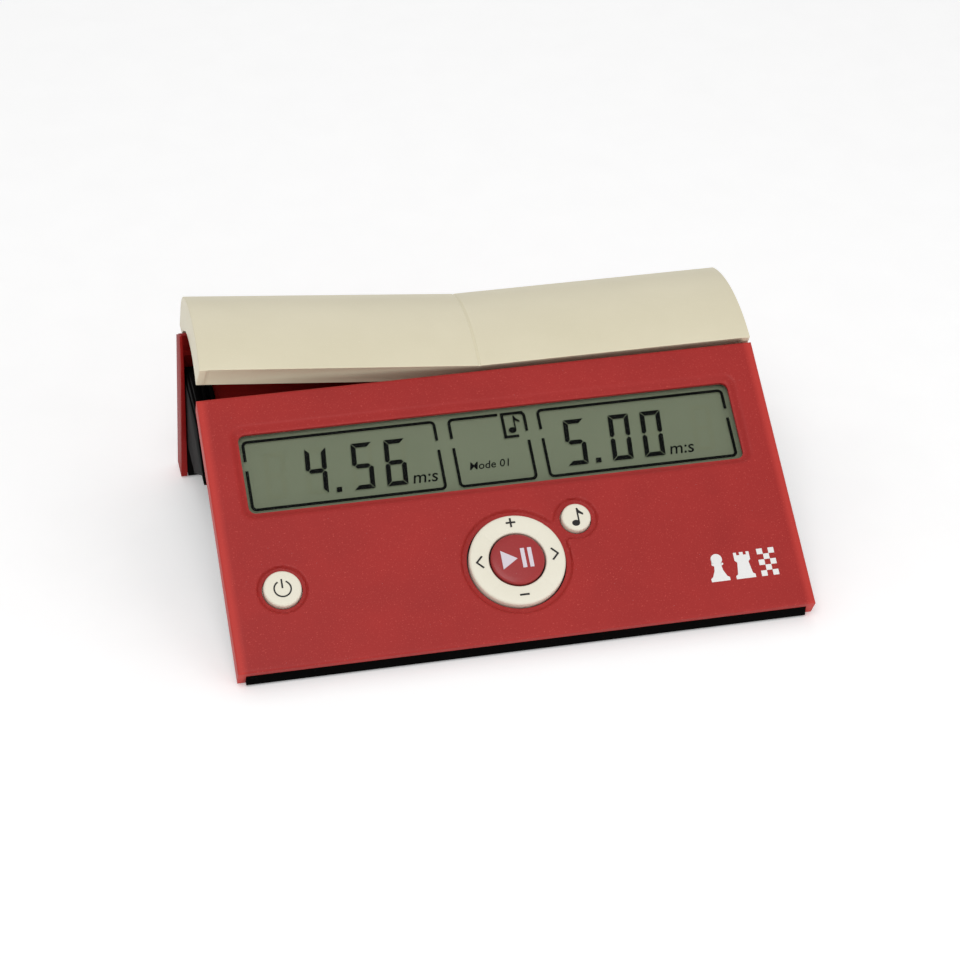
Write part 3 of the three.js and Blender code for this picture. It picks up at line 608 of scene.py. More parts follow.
@dataclass(frozen=True)
class Finishes:
    """Every finish on the clock."""

    # the front's red has highlight bands painted along its side edges
    front: Finish = RedWithEdgeHighlights("front_cover_red_with_highlights", "red_shell", linear(156, 40, 38), linear(170, 46, 43),
                              linear(214, 92, 82), (0.44, 0.56), 2900.0, 0.022, coat=0.03, gloss=0.2)
    red: Finish = Finish("rear_cover_red", "red_shell", linear(142, 26, 25), linear(156, 32, 30),
                         linear(184, 62, 56), (0.42, 0.54), 2300.0, 0.014, gloss=0.06)
    key_red: Finish = Finish("key_red", "red_key", linear(150, 44, 46), linear(164, 50, 50),
                             linear(180, 72, 70), (0.36, 0.46), 3200.0, 0.004, coat=0.1)
    ivory: Finish = Finish("lever_ivory", "ivory_plastic", linear(222, 214, 186), linear(228, 220, 193),
                           linear(233, 226, 201), (0.34, 0.44), 3000.0, 0.004, coat=0.08, dust=0.02)
    key_ivory: Finish = Finish("key_ivory", "ivory_plastic", linear(232, 227, 208), linear(238, 233, 216),
                               linear(242, 238, 224), (0.4, 0.5), 3000.0, 0.005, dust=0.02)
    black: Finish = Finish("base_black", "black_plastic", linear(4, 4, 4), linear(8, 7, 7),
                           linear(24, 23, 23), (0.5, 0.65), 2100.0, 0.018, dust=0.004, gloss=0.015)
    window: Finish = ClearWindow("window_acrylic", "clear_lens", linear(90, 96, 88), linear(100, 106, 98),
                                 linear(110, 116, 108), (0.04, 0.07), 900.0, 0.0004, dust=0.0)
    display: Finish = Finish("display_panel", "display_glass", linear(114, 123, 101), linear(120, 128, 106),
                             linear(122, 130, 108), (0.22, 0.28), 1500.0, 0.0008, dust=0.0, gloss=0.08)
    ink: Finish = Finish("display_ink", "display_glass", linear(3, 4, 4), linear(6, 7, 7),
                         linear(8, 9, 9), (0.3, 0.36), 1800.0, 0.0005, dust=0.0, gloss=0.03)
    shade: Finish = Finish("display_shadow", "display_glass", linear(97, 106, 84), linear(103, 111, 90),
                           linear(103, 111, 90), (0.28, 0.34), 1500.0, 0.0005, dust=0.0, gloss=0.08)
    ghost: Finish = Finish("display_ghost", "display_glass", linear(113, 121, 98), linear(119, 126, 103),
                           linear(120, 127, 105), (0.26, 0.3), 1500.0, 0.0005, dust=0.0, gloss=0.08)
    print_white: Finish = Finish("print_white", "ivory_plastic", linear(232, 232, 230), linear(240, 240, 238),
                                 linear(244, 244, 242), (0.4, 0.5), 2600.0, 0.003)
    print_lilac: Finish = Finish("print_lilac", "ivory_plastic", linear(214, 204, 212), linear(222, 212, 220),
                                 linear(226, 218, 224), (0.4, 0.5), 2600.0, 0.003)
    print_black: Finish = Finish("print_black", "black_plastic", linear(26, 25, 24), linear(34, 33, 32),
                                 linear(44, 43, 42), (0.4, 0.5), 2600.0, 0.003)
    steel: Finish = Finish("zinc_steel", "steel", linear(176, 178, 180), linear(196, 197, 198),
                           linear(214, 214, 214), (0.26, 0.38), 1800.0, 0.003, metallic=1.0)
    foil: Finish = Finish("reflector_foil", "foil", linear(186, 186, 182), linear(200, 200, 196),
                          linear(214, 214, 210), (0.3, 0.4), 1500.0, 0.003, metallic=1.0)
    brass: Finish = Finish("contact_brass", "brass", linear(176, 146, 84), linear(196, 166, 100),
                           linear(214, 190, 130), (0.26, 0.36), 1500.0, 0.002, metallic=1.0)
    grey_rubber: Finish = Finish("silicone_grey", "grey_rubber", linear(108, 110, 112), linear(124, 126, 128),
                                 linear(140, 142, 144), (0.6, 0.75), 1900.0, 0.008)
    pad_rubber: Finish = Finish("pad_rubber", "black_rubber", linear(24, 24, 25), linear(36, 36, 37),
                                linear(52, 52, 53), (0.7, 0.85), 1500.0, 0.03)
    board: Finish = CircuitBoard("board_solder_mask", "circuit_board", linear(26, 84, 48), linear(34, 98, 58),
                                 linear(60, 130, 84), (0.3, 0.42), 900.0, 0.006)
    jacket: Finish = Finish("printed_jacket", "cell_jacket", linear(32, 62, 104), linear(44, 78, 124),
                            linear(70, 104, 148), (0.22, 0.3), 1200.0, 0.001, coat=0.3)
    wire_red: Finish = Finish("wire_red", "red_wire", linear(168, 34, 30), linear(184, 44, 38),
                              linear(200, 70, 60), (0.36, 0.46), 2600.0, 0.002)
    wire_black: Finish = Finish("wire_black", "black_wire", linear(22, 22, 22), linear(34, 34, 34),
                                linear(50, 50, 50), (0.36, 0.46), 2600.0, 0.002)


FINISH = Finishes()


def settle(piece: bpy.types.Object, body: str, finish: Finish, *nodes: str) -> bpy.types.Object:
    """Dresses a piece, rides it on its body and lets it stand for CAD nodes.

    Args:
        piece: the finished piece.
        body: the body it moves with.
        finish: its finish.
        *nodes: the CAD nodes that it stands for.

    Returns:
        The piece.
    """
    finish.dress(piece)
    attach(piece, body)
    if nodes:
        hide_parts(*nodes)
    LOG.info("%s rides on %s", piece.name, body)
    return piece


# ---------------------------------------------------------------- front cover
@dataclass(frozen=True)
class KeyHole:
    """A round key's hole in the front, and the shallow dish around it, in mm.

    Attributes:
        node: the key's CAD node.
        radius: the key's radius.
        gap: clearance round the key.
        dish: the dish's radius.
    """

    node: str
    radius: float
    gap: float
    dish: float

    def away(self, u: float, v: float) -> float:
        """Signed distance from the dish's rim."""
        middle = FACE.middle(self.node)
        return math.hypot(u - middle[0], v - middle[1]) - self.dish


RING_HOLE = KeyHole("nav_ring", 12.5, 0.4, 14.6)
SOUND_HOLE = KeyHole("sound_button", 3.83, 0.3, 5.9)
POWER_HOLE = KeyHole("power_button", 4.85, 0.3, 6.6)


@dataclass(frozen=True)
class Bosses:
    """The bosses behind the front for one kind of screw, in mm.

    Attributes:
        kind: what the screws' CAD nodes are called after.
        count: how many there are.
        radius: a boss's radius.
        reach: height of its end over the face.
        bore: radius of its pilot hole.
    """

    kind: str
    count: int
    radius: float
    reach: float
    bore: float

    def spots(self) -> Points2:
        """Where the screws are on the face."""
        return [FACE.middle(f"{self.kind}_screw_{i + 1}") for i in range(self.count)]


@dataclass
class FrontCover:
    """The red front with its sunk window surround and its key dishes. All sizes are in mm."""

    half: float = 75.0
    slope: float = 76.9
    depth: float = 6.1
    wall: float = 1.8
    plate: float = 2.0
    edge_round: float = 0.55
    window_half: float = 65.8
    window: Point2 = (43.5, 66.1)
    window_round: float = 1.9
    surround: float = 2.3
    surround_depth: float = 1.2
    surround_round: float = 3.6
    dish_depth: float = 0.8
    dish_ramp: float = 0.5
    neck_half: float = 2.9
    melting: float = 1.6
    band_from: float = 72.0
    band_wide: float = 1.2
    band_depth: float = 0.1
    post: Point2 = (2.1, 2.0)
    bosses: tuple[Bosses, ...] = (Bosses("case", 6, 2.7, -8.7, 1.12), Bosses("board", 4, 2.2, -7.8, 1.02))
    bite: float = 0.1
    through: Point2 = (-9.0, 2.0)
    pilot: Point2 = (-10.0, -3.2)
    fine: float = 0.36
    medium: float = 0.6
    coarse: float = 1.6
    near_edges: Point2 = (3.4, 3.8)
    fine_across: tuple[Point2, ...] = ((-68.6, -53.0), (-16.0, 24.5), (64.6, 68.6))
    fine_up: tuple[Point2, ...] = ((5.5, 38.5), (40.6, 44.6), (65.4, 69.0))

    def build(self) -> None:
        """Builds the cover and dresses it."""
        cover = self.skin()
        inner, back = self.half - self.wall, -self.plate + self.bite
        hollow = block((-inner, inner), (-1, self.slope - self.wall), (-self.depth - 1, -self.plate),
                       FACE.place)
        opening = rounded((-self.window_half, self.window_half), self.window, self.window_round)
        holes = [plate("window", [opening], *self.through)]
        for key in (RING_HOLE, SOUND_HOLE, POWER_HOLE):
            rim = circle(FACE.middle(key.node), key.radius + key.gap, 96)
            holes.append(plate("key_hole", [rim], *self.through))
        combine(cover, [hollow, merged(holes)], Cut.REMOVE)
        wide, deep = self.post
        joined = [block((start, start + wide), (0, deep), (-self.depth, back), FACE.place)
                  for start in (-self.half, self.half - wide)]
        joined += [plate("boss", [circle(spot, row.radius, 32)], row.reach, back)
                   for row in self.bosses for spot in row.spots()]
        combine(cover, [merged(joined)], Cut.ADD)
        pilots = [plate("pilot", [circle(spot, row.bore, 20)], *self.pilot)
                  for row in self.bosses for spot in row.spots()]
        combine(cover, [merged(pilots)], Cut.REMOVE)
        smooth(cover, 38.0)
        settle(cover, "housing", FINISH.front, "front_cover")

    def skin(self) -> bpy.types.Object:
        """The outer form: a grid whose heights follow the sunk surround, the dishes and the round edge."""
        us = self.lines(-self.half, self.half, self.fine_across)
        vs = self.lines(0.0, self.slope, self.fine_up)
        spots = [(u, v) for v in vs for u in us]
        points = [FACE.place(u, v, self.height(u, v)) for u, v in spots]
        across, up = len(us), len(vs)
        faces: list[Sequence[int]] = []
        for j in range(up - 1):
            for i in range(across - 1):
                a = j * across + i
                faces.append((a, a + 1, a + across + 1, a + across))
        rim = list(range(across))
        rim += [j * across + across - 1 for j in range(1, up)]
        rim += [(up - 1) * across + i for i in range(across - 2, -1, -1)]
        rim += [j * across for j in range(up - 2, 0, -1)]
        base = len(points)
        points += [FACE.place(*spots[i], -self.depth) for i in rim]
        count = len(rim)
        for k in range(count):
            n = (k + 1) % count
            faces.append((rim[k], base + k, base + n, rim[n]))
        faces.append(tuple(base + k for k in range(count - 1, -1, -1)))
        return mesh_object("front_cover_shell", points, faces)

    def lines(self, low: float, high: float, fine_parts: Sequence[Point2]) -> list[float]:
        """Grid lines, close together near the rims and edges and wide apart elsewhere."""
        edge = [self.edge_round * (1 - math.cos(math.radians(a))) for a in range(0, 91, 18)]
        values = [low + e for e in edge]
        place, stop = low + self.edge_round, high - self.edge_round
        while True:
            close = any(a - self.coarse < place < b for a, b in fine_parts)
            near = place - low < self.near_edges[0] or high - place < self.near_edges[1]
            place += self.fine if close else (self.medium if near else self.coarse)
            if place >= stop - 0.2:
                break
            values.append(place)
        return values + [high - e for e in reversed(edge)]

    def height(self, u: float, v: float) -> float:
        """The surface height over the flat face at u, v."""
        inset = min(self.half - abs(u), v, self.slope - v)
        over = max(0.0, self.edge_round - inset)
        drop = self.edge_round - math.sqrt(max(0.0, self.edge_round ** 2 - over ** 2))
        middle = sum(self.window) / 2
        corner = self.surround_round
        across = abs(u) - self.window_half + corner - self.surround
        along = abs(v - middle) - (self.window[1] - self.window[0]) / 2 + corner - self.surround
        frame_gap = math.hypot(max(across, 0), max(along, 0)) + min(max(across, along), 0) - corner
        sunk = self.surround_depth * self.ramp(-frame_gap / self.surround)
        dish = self.dish_depth * self.ramp(-self.dish_gap(u, v) / self.dish_ramp)
        band = self.band_depth * self.ramp((abs(u) - self.band_from) / self.band_wide)
        return -drop - max(sunk, dish) - band

    def dish_gap(self, u: float, v: float) -> float:
        """Signed distance to the one dish of the ring pad and sound key, or to the power key's dish."""
        (nu, nv), (su, sv) = FACE.middle(RING_HOLE.node), FACE.middle(SOUND_HOLE.node)
        du, dv = su - nu, sv - nv
        share = max(0.0, min(1.0, ((u - nu) * du + (v - nv) * dv) / (du ** 2 + dv ** 2)))
        neck = math.hypot(u - nu - share * du, v - nv - share * dv) - self.neck_half
        joined = self.melt(RING_HOLE.away(u, v), neck, self.melting)
        return min(self.melt(joined, SOUND_HOLE.away(u, v), self.melting), POWER_HOLE.away(u, v))

    @staticmethod
    def melt(a: float, b: float, size: float) -> float:
        """The nearer of two distances, blended smoothly where they are alike."""
        share = max(0.0, min(1.0, 0.5 + 0.5 * (b - a) / size))
        return b + (a - b) * share - size * share * (1 - share)

    @staticmethod
    def ramp(t: float) -> float:
        """A soft step from 0 to 1."""
        t = max(0.0, min(1.0, t))
        return t * t * (3 - 2 * t)


# ---------------------------------------------------------------- display
@dataclass
class Display:
    """What the liquid crystal display shows. Sizes are in mm on the face."""

    top: float = -3.4
    ink: float = 0.05
    line: float = 0.78
    bend: float = 1.5
    rules: Point2 = (45.1, 65.3)
    gap: Point2 = (56.7, 59.4)
    frame_spans: tuple[tuple[float, float, float | None], ...] = (
        (-64.9, -13.6, None), (-10.4, 10.6, 3.2), (13.6, 64.9, None))
    base_line: float = 47.9
    digit: Point2 = (5.55, 13.3)
    digit_steps: tuple[float, float, float] = (0.0, 12.2, 20.9)
    times: tuple[tuple[float, str], ...] = ((-49.9, "4.56"), (19.2, "5.00"))
    idle: tuple[float, ...] = (-60.6, 53.9, -49.9, -37.7, -29.0, 31.4, 40.1)
    slant: float = 0.075
    stroke_width: float = 1.25
    shadow: Point2 = (-0.28, -0.34)
    letter_shear: float = 0.18
    letter_weight: float = 0.004

    def build(self) -> None:
        """Builds the shown marks, their soft shadows and the idle segments."""
        shown = self.frames() + [o for left, text in self.times for o in self.time(left, text)]
        shown += self.note(7.3, 59.2)
        idle = [o for left in self.idle for o in self.segments(left, "8")]
        low, mid = self.top + 0.01, self.top + 0.03
        settle(plate("display_idle_segments", idle, low - 0.008, low + 0.004), "housing", FINISH.ghost)
        cast = [shifted(o, *self.shadow) for o in shown]
        settle(plate("display_soft_shadow", cast, low, low + 0.012), "housing", FINISH.shade)
        settle(plate("display_marks", shown, mid, mid + self.ink), "housing", FINISH.ink)
        for name, text, u, v, size in (("display_unit_left", "m:s", -22.4, self.base_line, 5.0),
                                       ("display_unit_right", "m:s", 46.7, self.base_line, 5.0),
                                       ("display_mode", "Mode 01", -7.0, 49.9, 3.1)):
            settle(self.lettering(name, text, u, v, size), "housing", FINISH.ink)

    def lettering(self, name: str, text: str, u: float, v: float, size: float) -> bpy.types.Object:
        """Small plain lettering as a thin slanted solid.

        Args:
            name: the piece's name.
            text: what it says.
            u: its left end.
            v: its base line.
            size: letter size.

        Returns:
            The new object.
        """
        curve = bpy.data.curves.new(name, "FONT")
        curve.body = text
        curve.shear = self.letter_shear
        curve.extrude = self.ink / 2 / size
        curve.offset = self.letter_weight
        curve.resolution_u = 3
        words = bpy.data.objects.new(name + "_text", curve)
        bpy.context.scene.collection.objects.link(words)
        bpy.context.view_layer.update()
        graph = bpy.context.evaluated_depsgraph_get()
        mesh = bpy.data.meshes.new_from_object(words.evaluated_get(graph))
        bpy.data.objects.remove(words)
        mesh.transform(FACE.matrix(u, v, self.top + 0.03 + self.ink / 2) @ Matrix.Scale(size * MM, 4))
        return add_object(name, mesh)

    def frames(self) -> list[Points2]:
        """The three ruled frames with round corners and gaps in their sides, and the note's small box."""
        marks: list[Points2] = []
        for left, right, top_end in self.frame_spans:
            marks += self.side(left, 1, right, top_end)
            marks += self.side(right, -1, left, None if top_end is None else right)
        top, foot, left, right = self.rules[1], 58.2, 4.3, 10.0
        marks.append(stroke((left, top), (left, foot), self.line))
        marks.append(stroke((left - self.line / 2, foot), (left + 3.6, foot), self.line))
        marks.append(stroke((left, top - self.line / 2), (right, top - self.line / 2), self.line))
        return marks

    def side(self, edge: float, way: int, other: float, top_end: float | None) -> list[Points2]:
        """Half of a frame: one upright with its gap, and half of the rules at its top and bottom.

        Args:
            edge: the upright's outer edge.
            way: 1 on a frame's left, -1 on its right.
            other: the frame's far edge.
            top_end: where the top rule ends, or None for halfway.

        Returns:
            The outlines of the upper and the lower half.
        """
        line, bend, middle = self.line, self.bend, (edge + other) / 2
        pieces = []
        for v, sign, reach in ((self.rules[1], -1, top_end), (self.rules[0], 1, None)):
            end = middle if reach is None else reach
            start_angle, end_angle = (180, 90) if sign < 0 else (180, 270)
            centre = (edge + way * bend, v + sign * bend)
            outer = arc(centre, bend, start_angle, end_angle, 6)
            inner = arc(centre, bend - line, end_angle, start_angle, 6)
            if way < 0:
                outer = [(2 * centre[0] - p, q) for p, q in outer]
                inner = [(2 * centre[0] - p, q) for p, q in inner]
            stop = self.gap[1] if sign < 0 else self.gap[0]
            shape = [(edge, stop)] + outer
            if (end - centre[0]) * way > 0:
                shape += [(end, v), (end, v + sign * line)]
            pieces.append(shape + inner + [(edge + way * line, stop)])
        return pieces

    def time(self, left: float, text: str) -> list[Points2]:
        """Seven-segment digits and a point.

        Args:
            left: where the first digit starts.
            text: one digit, a point and two digits.

        Returns:
            The outlines of the lit segments.
        """
        digits = zip(self.digit_steps, text.replace(".", ""))
        marks = [o for step, digit in digits for o in self.segments(left + step, digit)]
        dot, base, size = left + 7.6, self.base_line, 1.4
        marks.append(shifted([(0, 0), (size, 0), (size + 0.1, size), (0.1, size)], dot, base))
        return marks

    def segments(self, left: float, digit: str) -> list[Points2]:
        """The lit segments of one digit, slanted."""
        lit = {"0": "abcdef", "1": "bc", "2": "abged", "3": "abgcd", "4": "fgbc", "5": "afgcd",
               "6": "afgedc", "7": "abc", "8": "abcdefg", "9": "abcdfg"}[digit]
        (wide, tall), s = self.digit, self.stroke_width
        half, g = tall / 2, 0.13
        bar = [(g, tall), (wide - g, tall), (wide - s - g, tall - s), (s + g, tall - s)]
        post = [(0, tall - g), (s, tall - s - g), (s, half + s / 2 + g), (s / 2, half + g),
                (0, half + 0.4 + g)]
        cross = [(s / 2 + g, half), (s + g, half + s / 2), (wide - s - g, half + s / 2),
                 (wide - s / 2 - g, half), (wide - s - g, half - s / 2), (s + g, half - s / 2)]

        def across(shape: Points2) -> Points2:
            """A segment mirrored from left to right."""
            return [(wide - x, y) for x, y in shape]

        def over(shape: Points2) -> Points2:
            """A segment mirrored from top to bottom."""
            return [(x, tall - y) for x, y in shape]

        shapes = {"a": bar, "b": across(post), "c": over(across(post)), "d": over(bar), "e": over(post),
                  "f": post, "g": cross}
        return [[(left + x + y * self.slant, self.base_line + y) for x, y in shapes[name]] for name in lit]

    @staticmethod
    def note(u: float, v: float) -> list[Points2]:
        """A small quaver."""
        head = [(u - 0.85 + 1.05 * math.cos(a), v + 0.85 + 0.85 * math.sin(a))
                for a in (2 * math.pi * i / 20 for i in range(20))]
        stem = stroke((u, v + 0.9), (u, v + 5.0), 0.4)
        flag = shifted([(0.2, 5.0), (0.5, 4.3), (1.5, 3.4), (1.4, 2.9), (0.2, 3.6)], u, v)
        return [head, stem, flag]


# ---------------------------------------------------------------- keys
@dataclass
class Keys:
    """The ring pad and the three round keys with their printed signs. Sizes are in mm."""

    sides: int = 144
    ring: tuple[float, float, float] = (7.4, RING_HOLE.radius, 1.2)
    groove: float = 0.09
    groove_half: float = 0.32
    key_top: float = 0.9
    print_height: float = 0.05
    print_root: float = 0.12

    def build(self) -> None:
        """Builds every key and its sign."""
        self.ring_pad()
        self.play_key()
        self.round_key(POWER_HOLE, "power_key", 1.0)
        self.round_key(SOUND_HOLE, "sound_key", 0.8)
        self.ring_signs()
        self.play_sign()
        self.power_sign()
        self.sound_sign()

    def turned(self, name: str, node: str, profile: Points2, closed: bool,
               dent: Callable[[float, float], float] = lambda radius, angle: 0.0) -> bpy.types.Object:
        """A turned piece on the face.

        Args:
            name: the piece's name.
            node: the CAD node whose middle it turns round.
            profile: radius and height points; they start and end on the axis unless closed.
            closed: whether the profile is a loop, as for a ring.
            dent: how far a top point at a radius and angle is sunk.

        Returns:
            The new object.
        """
        u, v = FACE.middle(node)
        points, faces, count = [], [], len(profile)
        for k in range(self.sides):
            a = 2 * math.pi * k / self.sides
            for r, h in profile:
                sunk = dent(r, a) if h > 0.2 else 0.0
                points.append(FACE.place(u + r * math.cos(a), v + r * math.sin(a), h - sunk))
        for k in range(self.sides):
            n = (k + 1) % self.sides
            for i in range(count if closed else count - 1):
                j = (i + 1) % count
                faces.append((k * count + i, n * count + i, n * count + j, k * count + j))
        return mesh_object(name, points, faces)

    def ring_pad(self) -> None:
        """The ring pad with its four shallow radial grooves."""
        inner, outer, top = self.ring
        profile = [(inner, -2.9), (outer, -2.9)]
        profile += arc((outer - 0.75, top - 0.75), 0.75, 0, 78, 8)
        profile += [(outer - 1.6, top + 0.02), (outer - 2.5, top + 0.05), (inner + 1.4, top - 0.02)]
        profile += arc((inner + 0.45, top - 0.5), 0.45, 90, 180, 6)

        def dent(radius: float, angle: float) -> float:
            """How far the pad's top is sunk near the middle line between two of its signs."""
            away = abs(math.degrees(angle) % 90 - 45)
            return self.groove * max(0.0, 1 - math.radians(away) * radius / self.groove_half)

        piece = self.turned("ring_pad", "nav_ring", profile, True, dent)
        smooth(piece, 50.0)
        settle(piece, "nav_pad", FINISH.key_ivory, "nav_ring")

    def play_key(self) -> None:
        """The domed red centre key."""
        profile = [(0, -4.2), (5.6, -4.2), (5.6, -2.4), (6.95, -1.6), (7.0, 0.7)]
        profile += arc((6.3, 0.8), 0.7, 0, 66, 8) + [(5.2, 1.54), (3.8, 1.63), (2.2, 1.68), (0, 1.7)]
        piece = self.turned("play_key_cap", "play_button", profile, False)
        smooth(piece, 50.0)
        settle(piece, "play_key", FINISH.key_red, "play_button")

    def round_key(self, hole: KeyHole, body: str, flange: float) -> None:
        """A flat round key with a soft edge, a flange and a stem."""
        radius, top = hole.radius, self.key_top
        stem = radius * 0.55
        profile = [(0, -4.2), (stem, -4.2), (stem, -3.1), (radius + flange, -3.1), (radius + flange, -2.4),
                   (radius, -2.4), (radius, top - 0.65)]
        profile += arc((radius - 0.65, top - 0.65), 0.65, 8, 84, 7)
        profile += [(radius * 0.6, top - 0.02), (radius * 0.3, top - 0.05), (0, top - 0.06)]
        piece = self.turned(body + "_cap", hole.node, profile, False)
        smooth(piece, 50.0)
        settle(piece, body, FINISH.key_ivory, hole.node)

    def sign(self, name: str, body: str, outlines: list[Points2], at: float, finish: Finish) -> None:
        """A printed sign at a height on a key's top."""
        settle(plate(name, outlines, at - self.print_root, at + self.print_height), body, finish)

    def ring_signs(self) -> None:
        """Plus, minus and two arrow heads."""
        u, v = FACE.middle("nav_ring")
        thin, half, plus, minus = 0.48, 1.25, v + 10.3, v - 9.9
        marks = [stroke((u - half, plus), (u + half, plus), thin),
                 stroke((u, plus - half), (u, plus - thin / 2), thin),
                 stroke((u, plus + thin / 2), (u, plus + half), thin),
                 stroke((u - half, minus), (u + half, minus), thin)]
        far, tall, deep, level = 10.0, 1.75, 1.9, v + 0.3
        for side in (-1, 1):
            tip, back = u + side * (far + deep / 2), u + side * (far - deep / 2)
            fore, rear, notch = back + side * thin * 0.4, back - side * thin * 0.4, tip - side * thin * 1.3
            low = tall - thin * 0.55
            marks.append([(tip, level), (fore, level + tall), (rear, level + low), (notch, level),
                          (rear, level - low), (fore, level - tall)])
        self.sign("ring_pad_signs", "nav_pad", marks, 1.28, FINISH.print_black)

    def play_sign(self) -> None:
        """A triangle and two bars."""
        u, v = FACE.middle("play_button")
        marks = [[(u - 4.2, v + 2.6), (u - 4.2, v - 2.6), (u - 0.1, v)],
                 rounded((u + 0.95, u + 2.0), (v - 2.7, v + 2.7), 0.08, 2),
                 rounded((u + 2.8, u + 3.85), (v - 2.7, v + 2.7), 0.08, 2)]
        self.sign("play_key_sign", "play_key", marks, 1.69, FINISH.print_lilac)

    def power_sign(self) -> None:
        """A broken circle with an upright bar."""
        u, v = FACE.middle("power_button")
        ring = arc((u, v - 0.15), 2.35, 118, 422, 40) + arc((u, v - 0.15), 1.95, 422, 118, 40)
        self.sign("power_key_sign", "power_key", [ring, stroke((u, v), (u, v + 2.5), 0.42)], 0.87,
                  FINISH.print_black)

    def sound_sign(self) -> None:
        """A quaver."""
        u, v = FACE.middle("sound_button")
        self.sign("sound_key_sign", "sound_key", Display.note(u + 0.45, v - 2.6), 0.87, FINISH.print_black)


# ---------------------------------------------------------------- generic mark
@dataclass
class CornerMark:
    """A small printed row of plain board-game signs in the front's lower right corner."""

    u: float = 49.0
    v: float = 9.0
    square: float = 1.55
    heights: Point2 = (-0.12, 0.045)

    def build(self) -> None:
        """Prints a pawn, a rook and a strip of board squares."""
        marks = [self.pawn(self.u + 2.6), self.rook(self.u + 9.4)]
        start = self.u + 13.6
        for i in range(3):
            for j in range(5):
                if (i + j) % 2 == 0:
                    low_u, low_v = start + i * self.square, self.v + j * self.square
                    marks.append([(low_u, low_v), (low_u + self.square, low_v),
                                  (low_u + self.square, low_v + self.square), (low_u, low_v + self.square)])
        settle(plate("corner_mark", marks, *self.heights), "housing", FINISH.print_white)

    def pawn(self, middle: float) -> Points2:
        """A pawn's outline."""
        right = [(2.5, 0.0), (2.5, 0.9), (1.9, 1.3), (1.15, 3.0), (0.95, 4.3), (1.55, 4.6), (1.55, 5.0),
                 (0.95, 5.1)]
        head = arc((0.0, 6.2), 1.5, -48, 228, 23)
        outline = right + head + [(-x, y) for x, y in reversed(right)]
        return [(middle + x, self.v + y) for x, y in outline]

    def rook(self, middle: float) -> Points2:
        """A rook's outline."""
        right = [(2.6, 0.0), (2.6, 0.9), (2.0, 1.3), (1.5, 4.6), (2.1, 5.2), (2.1, 7.4), (1.3, 7.4),
                 (1.3, 6.6), (0.5, 6.6), (0.5, 7.4)]
        return [(middle + x, self.v + y) for x, y in right + [(-x, y) for x, y in reversed(right)]]


